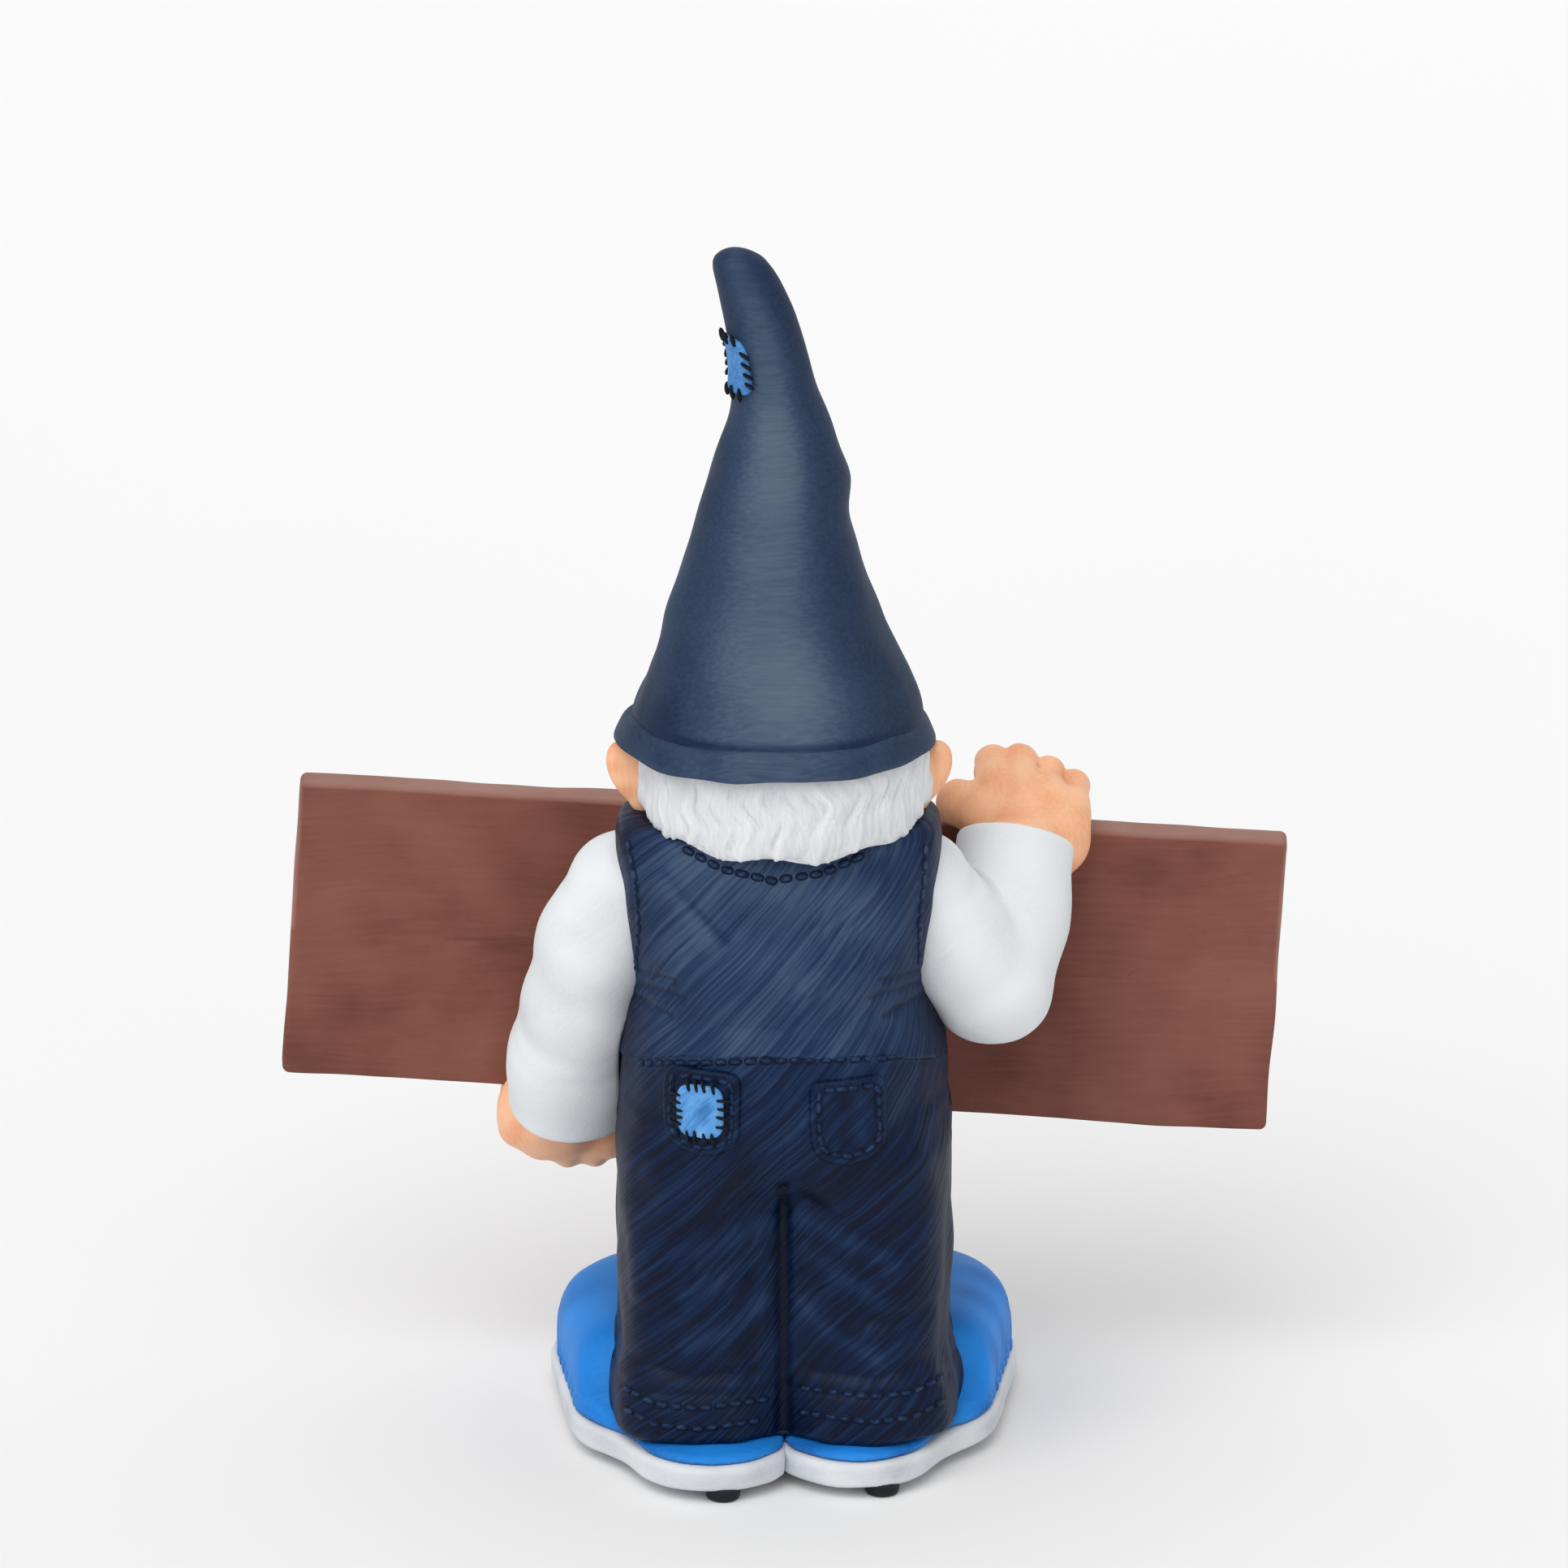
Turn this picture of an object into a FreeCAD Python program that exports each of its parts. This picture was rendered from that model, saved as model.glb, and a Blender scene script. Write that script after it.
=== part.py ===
"""Garden gnome figurine that holds a blank sign board: a resin casting glued up from separate members.

Millimetres, +Z up. The gnome faces -Y and its left hand is on +X. The origin is on the ground at the centre
of the figure's footprint. Depths in the sheet count from the figure's own upright axis, which stands
axis_back behind the origin.
"""

import FreeCAD, Part  # noqa: E401
import math
import os

import Sketcher
from FreeCAD import Placement, Rotation, Vector

X_AXIS = Vector(1, 0, 0)
Y_AXIS = Vector(0, 1, 0)
Z_AXIS = Vector(0, 0, 1)
REACH = 400  # longer than the figure, for blocks that cut right through it
THREAD_REACH = 12  # length of a thread's blank into the cloth, before it is cut to the cloth's skin
SIDES = {"left": 1, "right": -1}

# Driving dimensions: each is a cell of the sheet under this alias.
SIZES = {
    "axis_back": 12.3,
    # shoes: round heel and toe in plan, one long arc along the outer side
    "cleat_height": 2.5,
    "cleat_radius": 3.9,
    "cleat_tip_radius": 3.3,
    "cleat_stem_radius": 1.5,
    "cleat_stem_length": 3,
    "sole_thick": 5.6,
    "shoe_half_gap": 0.15,
    "shoe_stagger": 1.2,
    "heel_radius": 17,
    "heel_x": 16.5,
    "heel_y": 19,
    "toe_radius": 24.6,
    "toe_y": -36,
    "side_start_y": 22,
    "upper_inset": 0.7,
    "toe_cap_height": 20,
    "heel_cap_height": 3,
    "instep_x": 18.2,
    "instep_y": -6,
    "instep_half_width": 15.6,
    "instep_half_length": 31,
    "instep_height": 26,
    # overalls
    "cloth_thick": 2,
    "bib_half_width": 23,
    "bib_side_z": 113,
    "bib_top_z": 126,
    "bib_back_y": -8,
    "strap_inner_x": 14,
    "button_radius": 3.2,
    "button_x": 18.5,
    "button_z": 121,
    "button_y": -24.6,
    "button_half_thick": 2,
    "button_turn": 30,
    "pocket_thick": 1.1,
    "pocket_width": 15.6,
    "pocket_tall": 17.6,
    "pocket_point": 2.6,
    "pocket_left_x": 17,
    "pocket_right_x": -13.3,
    "pocket_left_z": 95.6,
    "pocket_right_z": 93.8,
    "patch_thick": 0.9,
    "seat_patch_width": 10.2,
    "seat_patch_tall": 12.4,
    "seat_patch_x": 17.4,
    "seat_patch_z": 86.6,
    "hat_patch_width": 13,
    "hat_patch_tall": 12.6,
    "hat_patch_z": 242.8,
    "patch_corner": 2.4,
    "thread_width": 0.9,
    "thread_length": 2.9,
    "thread_proud": 0.5,
    # head
    "head_y": -2,
    "head_z": 149,
    "head_radius": 27.4,
    "head_half_height": 23,
    "neck_radius": 15,
    "neck_low_z": 128,
    "hair_front_y": -7,
    "ear_x": 31.4,
    "ear_z": 149.3,
    "ear_half_thick": 2.6,
    "ear_half_width": 5,
    "ear_half_tall": 6.6,
    "ear_lean": 30,
    "nose_y": -31,
    "nose_z": 147,
    "nose_radius": 5.6,
    "eye_x": 9.6,
    "eye_y": -26.6,
    "eye_z": 150.6,
    "eye_radius": 2.6,
    "brow_x": 10.6,
    "brow_y": -28,
    "brow_z": 154.3,
    "brow_half_width": 6,
    "brow_half_depth": 3.2,
    "brow_half_tall": 1.9,
    "moustache_x": 9.2,
    "moustache_y": -31,
    "moustache_z": 140.6,
    "moustache_half_width": 11,
    "moustache_half_depth": 5.6,
    "moustache_half_tall": 4.4,
    "moustache_droop": 16,
    # hat
    "brim_x": 1.9,
    "brim_low_z": 156.4,
    "brim_tall": 9,
    "brim_inner_radius": 27,
    "brim_outer_radius": 34.4,
    "brim_rounding": 3.6,
    "hat_tip_x": 9.5,
    "hat_tip_z": 260.2,
    "hat_tip_radius": 6.8,
    # arms
    "shoulder_x": 33.4,
    "shoulder_z": 125.8,
    "shoulder_radius": 12,
    "elbow_x": -44.6,
    "elbow_y": -3,
    "elbow_z": 102,
    "elbow_radius": 13.1,
    # board, and the hands that grip its edges
    "board_length": 209,
    "board_tall": 65.5,
    "board_thick": 8,
    "board_corner": 2.2,
    "board_y": -45,
    "board_z": 94.2,
    "board_tilt": -3.7,
    "grip_right_along": -52.6,
    "grip_left_along": 46,
    "grip_above_edge": 3.4,
    "wrist_radius": 9.4,
    "wrist_right_x": -49.6,
    "wrist_right_y": -24,
    "wrist_right_z": 127.6,
    "wrist_left_x": 45.2,
    "wrist_left_y": -21,
    "wrist_left_z": 70.2,
}

# Lofted members: centre x, y, z, half width, half depth and pitch of each section, from end to end.
FIELDS = ("x", "y", "z", "half_width", "half_depth", "pitch")
STATIONS = {
    "torso": [
        (0, -2, 97, 34.2, 33, 0),
        (0, -1.5, 112, 32.8, 31, 0),
        (0, -0.5, 127, 33.8, 27, 0),
        (0, 0.5, 137, 33.4, 22, 0),
        (0, 0.5, 141.5, 30, 17, 0),
    ],
    "seat": [
        (0, -2, 56, 34, 30, 0),
        (0, -2, 68, 34.3, 33, 0),
        (0, -2, 82, 34.6, 34.4, 0),
        (0, -2, 97, 34.2, 33, 0),
    ],
    "leg": [
        (18.4, -0.6, 10.4, 18, 28.4, 0),
        (18.2, -1, 24, 17.8, 28, 0),
        (17.4, -1.6, 44, 17, 27, 0),
        (17.2, -2, 62, 17, 28.6, 0),
    ],
    "hair": [
        (0, 1.5, 139.5, 26.5, 26.5, 0),
        (0, 1.5, 143.5, 29.6, 29.6, 0),
        (0, 0.8, 149, 31, 31, 0),
        (0, 0.5, 156.4, 30.4, 30.4, 0),
    ],
    "beard": [
        (0, -20, 147, 25, 10, 0),
        (0, -25, 136, 21.5, 11, 0),
        (0, -30, 122, 14, 7.4, 0),
        (0, -34.6, 108, 4, 2.8, 0),
    ],
    "hat": [
        (1.5, 0, 156.4, 32.4, 32.4, 0),
        (1.4, 0, 165, 30.8, 30.8, 0),
        (1.2, 0, 173, 27.8, 27.8, 0),
        (2.2, 0, 185.6, 22.8, 22.8, 0),
        (2, 0, 205.5, 17, 17, 0),
        (1.5, 0, 221, 13, 13, 0),
        (2, 0, 236.7, 9.3, 9.3, 0),
        (4.2, 0, 248.4, 8, 8, 0),
        (9.3, 0, 259.6, 6.4, 6.4, 0),
    ],
    "fist": [
        (0, 5, -15, 8, 11, 0),
        (0, 4.4, -9, 11.6, 15.8, 0),
        (0, 4.4, 0, 11.9, 16, 0),
        (0, 4.4, 9, 11.6, 15.8, 0),
        (0, 5, 15, 8, 11, 0),
    ],
    "thumb": [
        (0, 10.4, 7, 4.8, 5, 0),
        (0, 10.6, 17, 4.5, 4.7, 0),
        (0, 10.9, 24, 2.6, 2.8, 0),
    ],
    "arm_left": [
        (36, 0, 125.4, 11.4, 11.4, 0),
        (42, -1.5, 110, 12.4, 12.4, -8),
        (44.8, -7, 92, 13, 13, -24),
        (45, -18, 75, 13.2, 13.2, -33.5),
    ],
    "upper_arm_right": [
        (-36, 0, 125.4, 11.4, 11.4, 0),
        (-41, -1.4, 112, 12.4, 12.4, -8),
        (-44.6, -3, 102, 12.6, 12.6, -20),
    ],
    "forearm_right": [
        (-44.6, -3, 102, 12.6, 12.6, 36),
        (-47.6, -12.6, 115, 12.6, 12.6, 36),
        (-49.4, -21, 126, 12.4, 12.4, 36),
    ],
}

# Cleats of the left shoe, as shares of the heel or toe radius across and along from its centre.
HEEL_CLEATS = [(-0.24, 0.66), (0.55, 0.36)]
TOE_CLEATS = [(-0.58, 0.62), (0.6, 0.42), (-0.5, -0.42), (0.42, -0.52)]
# Places along each edge of a patch where a stitch crosses it, as shares of the edge.
STITCH_SHARES = (-0.33, -0.11, 0.11, 0.33)

doc = FreeCAD.newDocument("gnome")
sheet = doc.addObject("Spreadsheet::Sheet", "dims")
nodes = []


def fill_sheet():
    rows = list(SIZES.items())
    for member, stations in STATIONS.items():
        for number, station in enumerate(stations, 1):
            rows += [(f"{member}_{number}_{field}", value) for field, value in zip(FIELDS, station)]
    for row, (alias, value) in enumerate(rows, 1):
        sheet.set(f"A{row}", alias)
        sheet.set(f"B{row}", f"{value:g}")
        sheet.setAlias(f"B{row}", alias)
    doc.recompute()


def size(alias):
    """A driving dimension, for the first guess of a sketch; its constraints are bound to the sheet."""
    return float(getattr(sheet, alias))


# ---- objects bound to the sheet


def bind(thing, **expressions):
    """Binds properties; a double underscore in a keyword stands for the dot of a path."""
    for path, expression in expressions.items():
        thing.setExpression(path.replace("__", "."), str(expression))
    return thing


def place(thing, x="0", y="0", z="0", axis=Z_AXIS, angle=None):
    """Binds the placement, with y counted from the figure's upright axis."""
    bind(thing, Placement__Base__x=x, Placement__Base__y=f"dims.axis_back + {y}", Placement__Base__z=z)
    if angle is not None:
        turn(thing, axis, angle)
    return thing


def turn(thing, axis, angle):
    thing.Placement = Placement(thing.Placement.Base, Rotation(axis, 1))
    return bind(thing, Placement__Rotation__Angle=angle)


def primitive(kind, name, **expressions):
    return bind(doc.addObject(f"Part::{kind}", name), **expressions)


def ellipsoid(name, half_width, half_depth, half_tall, **where):
    made = primitive("Ellipsoid", name, Radius1=half_tall, Radius2=half_width, Radius3=half_depth)
    return place(made, **where)


def sphere(name, radius, **where):
    return place(primitive("Sphere", name, Radius=radius), **where)


def cylinder(name, radius, height, **where):
    return place(primitive("Cylinder", name, Radius=radius, Height=height), **where)


def block(name, length, width, height, **where):
    return place(primitive("Box", name, Length=length, Width=width, Height=height), **where)


def boolean(kind, name, **operands):
    """Boolean without the merging of faces, which can spoil smooth lofted ones."""
    made = doc.addObject(f"Part::{kind}", name)
    made.Refine = False
    for operand, thing in operands.items():
        setattr(made, operand, thing)
    return made


def fuse(name, *things):
    return boolean("MultiFuse", name, Shapes=list(things))


def common(name, base, tool):
    return boolean("Common", name, Base=base, Tool=tool)


def cut(name, base, *tools):
    """Takes each tool away in turn, so that the piece meets its neighbours face to face."""
    for number, tool in enumerate(tools, 1):
        base = boolean("Cut", f"{name}_less_{number}", Base=base, Tool=tool)
    return base


def group(name, things, **shift):
    made = doc.addObject("Part::Compound", name)
    made.Links = list(things)
    return bind(made, **shift)


def mirror(name, source):
    made = doc.addObject("Part::Mirroring", name)
    made.Source = source
    made.Normal = X_AXIS
    return made


def node(label, thing):
    """Marks a finished piece: its label is the name of its file."""
    thing.Label = label
    nodes.append(thing)
    return thing


def loft(name, member, grow=0):
    """Smooth solid through the stations of a member, each an ellipse grown by the same amount."""
    rings = []
    for number, station in enumerate(STATIONS[member], 1):
        cell = f"dims.{member}_{number}_"
        wide = f"{cell}half_width + {grow}"
        deep = f"{cell}half_depth + {grow}"
        ring = doc.addObject("Part::Ellipse", f"{name}_{number}")
        where = {"x": f"{cell}x", "y": f"{cell}y", "z": f"{cell}z"}
        if station[4] > station[3]:
            ring.MajorRadius = station[4]
            bind(ring, MajorRadius=deep, MinorRadius=wide)
            place(ring, axis=Z_AXIS, angle="90", **where)
        else:
            ring.MajorRadius = station[3] + station[4]
            bind(ring, MajorRadius=wide, MinorRadius=deep)
            place(ring, axis=X_AXIS, angle=f"{cell}pitch", **where)
        rings.append(ring)
    made = doc.addObject("Part::Loft", name)
    made.Sections = rings
    made.Solid = True
    return made


# ---- sketches


def sketched_body(name, plane_role):
    """Body with an empty sketch on one of its own origin planes."""
    body = doc.addObject("PartDesign::Body", name)
    sketch = body.newObject("Sketcher::SketchObject", f"{name}_sketch")
    plane = next(feature for feature in body.Origin.OriginFeatures if feature.Role == plane_role)
    sketch.AttachmentSupport = [(plane, "")]
    sketch.MapMode = "FlatFace"
    return body, sketch


def pad(body, sketch, length, both_ways=False):
    feature = body.newObject("PartDesign::Pad", f"{body.Name}_pad")
    feature.Profile = sketch
    feature.Midplane = both_ways
    sketch.Visibility = False
    return bind(feature, Length=length)


def dimension(sketch, kind, places, value, alias):
    """Adds a dimension to the sketch, starting at value, and binds it."""
    index = sketch.addConstraint(Sketcher.Constraint(kind, *places, value))
    sketch.renameConstraint(index, f"size_{index}")
    sketch.setExpression(f"Constraints.size_{index}", alias)


def closed_lines(sketch, spots):
    """Draws a closed outline of straight lines and returns their numbers."""
    count = len(spots)
    lines = []
    for i in range(count):
        lines.append(sketch.addGeometry(Part.LineSegment(spots[i], spots[(i + 1) % count])))
    for i in range(count):
        sketch.addConstraint(Sketcher.Constraint("Coincident", lines[i], 2, lines[(i + 1) % count], 1))
    return lines


def rectangle(sketch, wide, tall):
    """Rectangle centred on the sketch's origin; the sizes are given by their aliases."""
    half_wide = size(wide) / 2
    half_tall = size(tall) / 2
    spots = [
        Vector(-half_wide, -half_tall), Vector(half_wide, -half_tall),
        Vector(half_wide, half_tall), Vector(-half_wide, half_tall),
    ]
    low, right, high, left = closed_lines(sketch, spots)
    for line in (low, high):
        sketch.addConstraint(Sketcher.Constraint("Horizontal", line))
    for line in (right, left):
        sketch.addConstraint(Sketcher.Constraint("Vertical", line))
    sketch.addConstraint(Sketcher.Constraint("Symmetric", low, 1, high, 1, -1, 1))
    dimension(sketch, "DistanceX", (low, 1, low, 2), 2 * half_wide, f"dims.{wide}")
    dimension(sketch, "DistanceY", (right, 1, right, 2), 2 * half_tall, f"dims.{tall}")


def upright_edges(feature, direction):
    """Names of the feature's straight edges along a direction."""
    names = []
    for number, edge in enumerate(feature.Shape.Edges, 1):
        straight = isinstance(edge.Curve, Part.Line)
        if straight and abs(edge.tangentAt(edge.FirstParameter).dot(direction)) > 0.999:
            names.append(f"Edge{number}")
    return names


def rounded_plate(name, plane_role, wide, tall, thick, corner):
    """Rectangular plate with rounded corners, centred on its sketch plane."""
    body, sketch = sketched_body(name, plane_role)
    rectangle(sketch, wide, tall)
    feature = pad(body, sketch, thick, both_ways=True)
    doc.recompute()
    normal = X_AXIS if plane_role == "YZ_Plane" else Y_AXIS
    rounding = body.newObject("PartDesign::Fillet", f"{name}_corners")
    rounding.Base = (feature, upright_edges(feature, normal))
    bind(rounding, Radius=corner)
    return body


# ---- shoes


def sole_outline(sketch):
    """Left sole in plan: round heel, outer arc, round toe and a straight inner side."""
    gap = size("shoe_half_gap")
    heel_radius = size("heel_radius")
    toe_radius = size("toe_radius")
    heel = Vector(size("heel_x"), size("heel_y"))
    toe = Vector(gap + toe_radius, size("toe_y"))
    start_up = size("side_start_y") - heel.y
    start = heel + Vector(math.sqrt(heel_radius**2 - start_up**2), start_up)
    cleft = Vector(gap, heel.y + math.sqrt(heel_radius**2 - (heel.x - gap) ** 2))
    outer = toe + Vector(toe_radius, 0)
    inner = toe - Vector(toe_radius, 0)
    run = outer.x - start.x
    rise = start.y - outer.y
    side_radius = (rise**2 + run**2) / (2 * run)
    side = outer - Vector(side_radius, 0)
    half_turn = math.asin(rise / side_radius) / 2
    bulge = side + Vector(math.cos(half_turn), math.sin(half_turn)) * side_radius
    heel_arc = sketch.addGeometry(Part.Arc(start, heel + Vector(0, heel_radius), cleft))
    side_arc = sketch.addGeometry(Part.Arc(outer, bulge, start))
    toe_arc = sketch.addGeometry(Part.Arc(inner, toe - Vector(0, toe_radius), outer))
    straight = sketch.addGeometry(Part.LineSegment(cleft, inner))
    for pair in ((heel_arc, 2, straight, 1), (side_arc, 2, heel_arc, 1)):
        sketch.addConstraint(Sketcher.Constraint("Coincident", *pair))
    for pair in ((toe_arc, 1, straight, 2), (toe_arc, 2, side_arc, 1)):
        sketch.addConstraint(Sketcher.Constraint("Tangent", *pair))
    sketch.addConstraint(Sketcher.Constraint("Vertical", straight))
    dimension(sketch, "Radius", (heel_arc,), heel_radius, "dims.heel_radius")
    dimension(sketch, "Radius", (toe_arc,), toe_radius, "dims.toe_radius")
    dimension(sketch, "DistanceX", (-1, 1, heel_arc, 3), heel.x, "dims.heel_x")
    dimension(sketch, "DistanceY", (-1, 1, heel_arc, 3), heel.y, "dims.heel_y")
    dimension(sketch, "DistanceX", (-1, 1, straight, 2), gap, "dims.shoe_half_gap")
    dimension(sketch, "DistanceY", (toe_arc, 3, -1, 1), -toe.y, "-dims.toe_y")
    dimension(sketch, "DistanceY", (-1, 1, side_arc, 2), start.y, "dims.side_start_y")
    sketch.addConstraint(Sketcher.Constraint("Horizontal", toe_arc, 3, side_arc, 1))


def make_cleat(number, x, y):
    """Cleat with a stem that is pressed into the sole."""
    stem_height = "dims.cleat_height + dims.cleat_stem_length"
    stem = cylinder(f"cleat_stem_{number}", "dims.cleat_stem_radius", stem_height, x=x, y=y)
    foot = primitive(
        "Cone", f"cleat_foot_{number}",
        Radius1="dims.cleat_tip_radius", Radius2="dims.cleat_radius", Height="dims.cleat_height",
    )
    place(foot, x=x, y=y)
    return stem, fuse(f"cleat_{number}", foot, stem)


def make_upper():
    """Toe cap, instep and heel counter in one: flat underneath and flat towards the other shoe."""
    floor_z = "dims.cleat_height + dims.sole_thick"
    toe_radius = "dims.toe_radius - dims.upper_inset"
    heel_radius = "dims.heel_radius - dims.upper_inset"
    toe_cap = ellipsoid(
        "toe_cap", toe_radius, toe_radius, "dims.toe_cap_height",
        x="dims.shoe_half_gap + dims.toe_radius", y="dims.toe_y", z=floor_z,
    )
    instep = ellipsoid(
        "instep", "dims.instep_half_width", "dims.instep_half_length", "dims.instep_height",
        x="dims.instep_x", y="dims.instep_y", z=floor_z,
    )
    counter = ellipsoid(
        "heel_counter", heel_radius, heel_radius, "dims.heel_cap_height",
        x="dims.heel_x", y="dims.heel_y", z=floor_z,
    )
    room = block("upper_room", REACH, REACH, REACH, x="dims.shoe_half_gap", y=-REACH / 2, z=floor_z)
    return common("upper", fuse("upper_blank", toe_cap, instep, counter), room)


def make_shoes():
    """Both shoes: the right one mirrors the left and stands a little further forward."""
    sole_blank, sketch = sketched_body("sole_blank", "XY_Plane")
    sole_outline(sketch)
    pad(sole_blank, sketch, "dims.sole_thick")
    place(sole_blank, z="dims.cleat_height")
    toe_x = "dims.shoe_half_gap + dims.toe_radius"
    spots = [("dims.heel_x", "dims.heel_y", "dims.heel_radius", *shares) for shares in HEEL_CLEATS]
    spots += [(toe_x, "dims.toe_y", "dims.toe_radius", *shares) for shares in TOE_CLEATS]
    stems = []
    cleats = []
    for number, (x, y, radius, across, along) in enumerate(spots, 1):
        stem, cleat = make_cleat(number, f"{x} + {across} * {radius}", f"{y} + {along} * {radius}")
        stems.append(stem)
        cleats.append(cleat)
    members = {
        "sole": cut("sole", sole_blank, group("stems", stems)),
        "shoe": make_upper(),
        "cleats": group("cleats", cleats),
    }
    for side, sign in SIDES.items():
        for member, thing in members.items():
            source = thing if sign > 0 else mirror(f"{member}_mirrored", thing)
            shift = f"{sign} * dims.shoe_stagger"
            node(f"{member}_{side}", group(f"{member}_{side}", [source], Placement__Base__y=shift))


# ---- clothes


def make_trousers():
    """Seat and legs in one piece, hollowed underneath where the shoes go in."""
    leg = loft("leg_of_left", "leg")
    blank = fuse("trousers_blank", loft("seat_of_trousers", "seat"), leg, mirror("leg_of_right", leg))
    return node("trousers", cut("trousers", blank, doc.getObject("shoe_left"), doc.getObject("shoe_right")))


def make_torso(head):
    """Shirt as a solid core, and the top of the overalls as a shell round it. Also returns both as one."""
    core = loft("shirt_core", "torso", grow="-dims.cloth_thick")
    whole = loft("torso_whole", "torso")
    # above the bib's sides and between its straps the cloth is cut away at the front
    right_window = block(
        "window_right", REACH, REACH, REACH,
        x=f"-dims.bib_half_width - {REACH}", y=f"dims.bib_back_y - {REACH}", z="dims.bib_side_z",
    )
    left_window = block(
        "window_left", REACH, REACH, REACH,
        x="dims.bib_half_width", y=f"dims.bib_back_y - {REACH}", z="dims.bib_side_z",
    )
    throat = block(
        "window_throat", "2 * dims.strap_inner_x", REACH, REACH,
        x="-dims.strap_inner_x", y=f"dims.bib_back_y - {REACH}", z="dims.bib_top_z",
    )
    node("shirt_body", cut("shirt", core, head))
    node("overalls_top", cut("overalls", whole, core, right_window, left_window, throat, head))
    return whole


def make_buttons(torso):
    """Brace buttons on the bib."""
    for side, sign in SIDES.items():
        blank = ellipsoid(
            f"button_{side}_blank", "dims.button_radius", "dims.button_half_thick", "dims.button_radius",
            x=f"{sign} * dims.button_x", y="dims.button_y", z="dims.button_z",
            axis=Z_AXIS, angle=f"{sign} * dims.button_turn",
        )
        node(f"button_{side}", cut(f"button_{side}", blank, torso))


def pocket_outline(sketch):
    """Pocket with a shallow point below; its top edge is centred on the sketch's origin."""
    half = size("pocket_width") / 2
    tall = size("pocket_tall")
    point = size("pocket_point")
    spots = [Vector(-half, 0), Vector(-half, point - tall), Vector(0, -tall), Vector(half, point - tall)]
    left, low_left, low_right, right, top = closed_lines(sketch, spots + [Vector(half, 0)])
    sketch.addConstraint(Sketcher.Constraint("Symmetric", top, 1, top, 2, -1, 1))
    sketch.addConstraint(Sketcher.Constraint("Horizontal", top))
    sketch.addConstraint(Sketcher.Constraint("Vertical", left))
    sketch.addConstraint(Sketcher.Constraint("Vertical", right))
    sketch.addConstraint(Sketcher.Constraint("Horizontal", low_left, 1, low_right, 2))
    sketch.addConstraint(Sketcher.Constraint("PointOnObject", low_left, 2, -2))
    dimension(sketch, "DistanceX", (top, 2, top, 1), 2 * half, "dims.pocket_width")
    dimension(sketch, "DistanceY", (low_left, 2, -1, 1), tall, "dims.pocket_tall")
    dimension(sketch, "DistanceY", (low_left, 2, low_left, 1), point, "dims.pocket_point")


def make_back_pockets():
    skin = loft("pocket_skin", "seat", grow="dims.pocket_thick")
    inside = loft("pocket_inside", "seat")
    for side in SIDES:
        body, sketch = sketched_body(f"pocket_{side}_blank", "XZ_Plane")
        pocket_outline(sketch)
        pad(body, sketch, "dims.seat_3_half_depth", both_ways=True)
        place(body, x=f"dims.pocket_{side}_x", y="dims.seat_3_half_depth", z=f"dims.pocket_{side}_z")
        plate = common(f"pocket_{side}_plate", body, skin)
        node(f"back_pocket_{side}", cut(f"back_pocket_{side}", plate, inside))


def stitches(name, along, wide, tall, x, y, z):
    """Thread blanks across the four edges of a patch; along is the horizontal direction of the patch."""
    half_thread = "dims.thread_width / 2"
    half_length = "dims.thread_length / 2"
    blanks = []
    for share in STITCH_SHARES:
        for sign in SIDES.values():
            upright = {"wide": "dims.thread_width", "tall": "dims.thread_length"}
            lying = {"wide": "dims.thread_length", "tall": "dims.thread_width"}
            upright["across"] = f"{share} * dims.{wide} - {half_thread}"
            upright["up"] = f"{sign} * dims.{tall} / 2 - {half_length}"
            lying["across"] = f"{sign} * dims.{wide} / 2 - {half_length}"
            lying["up"] = f"{share} * dims.{tall} - {half_thread}"
            for spot in (upright, lying):
                label = f"{name}_{len(blanks) + 1}"
                up = f"{z} + {spot['up']}"
                if along == "x":
                    across = f"{x} + {spot['across']}"
                    blank = block(label, spot["wide"], THREAD_REACH, spot["tall"], x=across, y=y, z=up)
                else:
                    across = f"{y} + {spot['across']}"
                    blank = block(label, THREAD_REACH, spot["wide"], spot["tall"], x=x, y=across, z=up)
                blanks.append(blank)
    return group(name, blanks)


def make_seat_patch():
    """Patch sewn on the left back pocket, with its heavy stitches."""
    under = loft("seat_patch_inside", "seat", grow="dims.pocket_thick")
    skin = loft("seat_patch_skin", "seat", grow="dims.pocket_thick + dims.patch_thick")
    thread = "dims.pocket_thick + dims.patch_thick + dims.thread_proud"
    blank = rounded_plate(
        "seat_patch_blank", "XZ_Plane", "seat_patch_width", "seat_patch_tall", REACH / 10, "dims.patch_corner"
    )
    place(blank, x="dims.seat_patch_x", y="dims.seat_3_half_depth", z="dims.seat_patch_z")
    patch = cut("seat_patch", common("seat_patch_plate", blank, skin), under)
    node("seat_patch", patch)
    threads = stitches(
        "seat_threads", "x", "seat_patch_width", "seat_patch_tall",
        "dims.seat_patch_x", "dims.seat_3_half_depth - 10", "dims.seat_patch_z",
    )
    sewn = common("seat_threads_trimmed", threads, loft("seat_thread_skin", "seat", grow=thread))
    node("seat_patch_stitches", cut("seat_patch_stitches", sewn, patch, under))


# ---- head and hat


def make_head():
    skull = ellipsoid(
        "skull", "dims.head_radius", "dims.head_radius", "dims.head_half_height",
        y="dims.head_y", z="dims.head_z",
    )
    neck = cylinder(
        "neck", "dims.neck_radius", "dims.head_z - dims.neck_low_z", y="dims.head_y", z="dims.neck_low_z",
    )
    return node("head", fuse("head", skull, neck))


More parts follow.
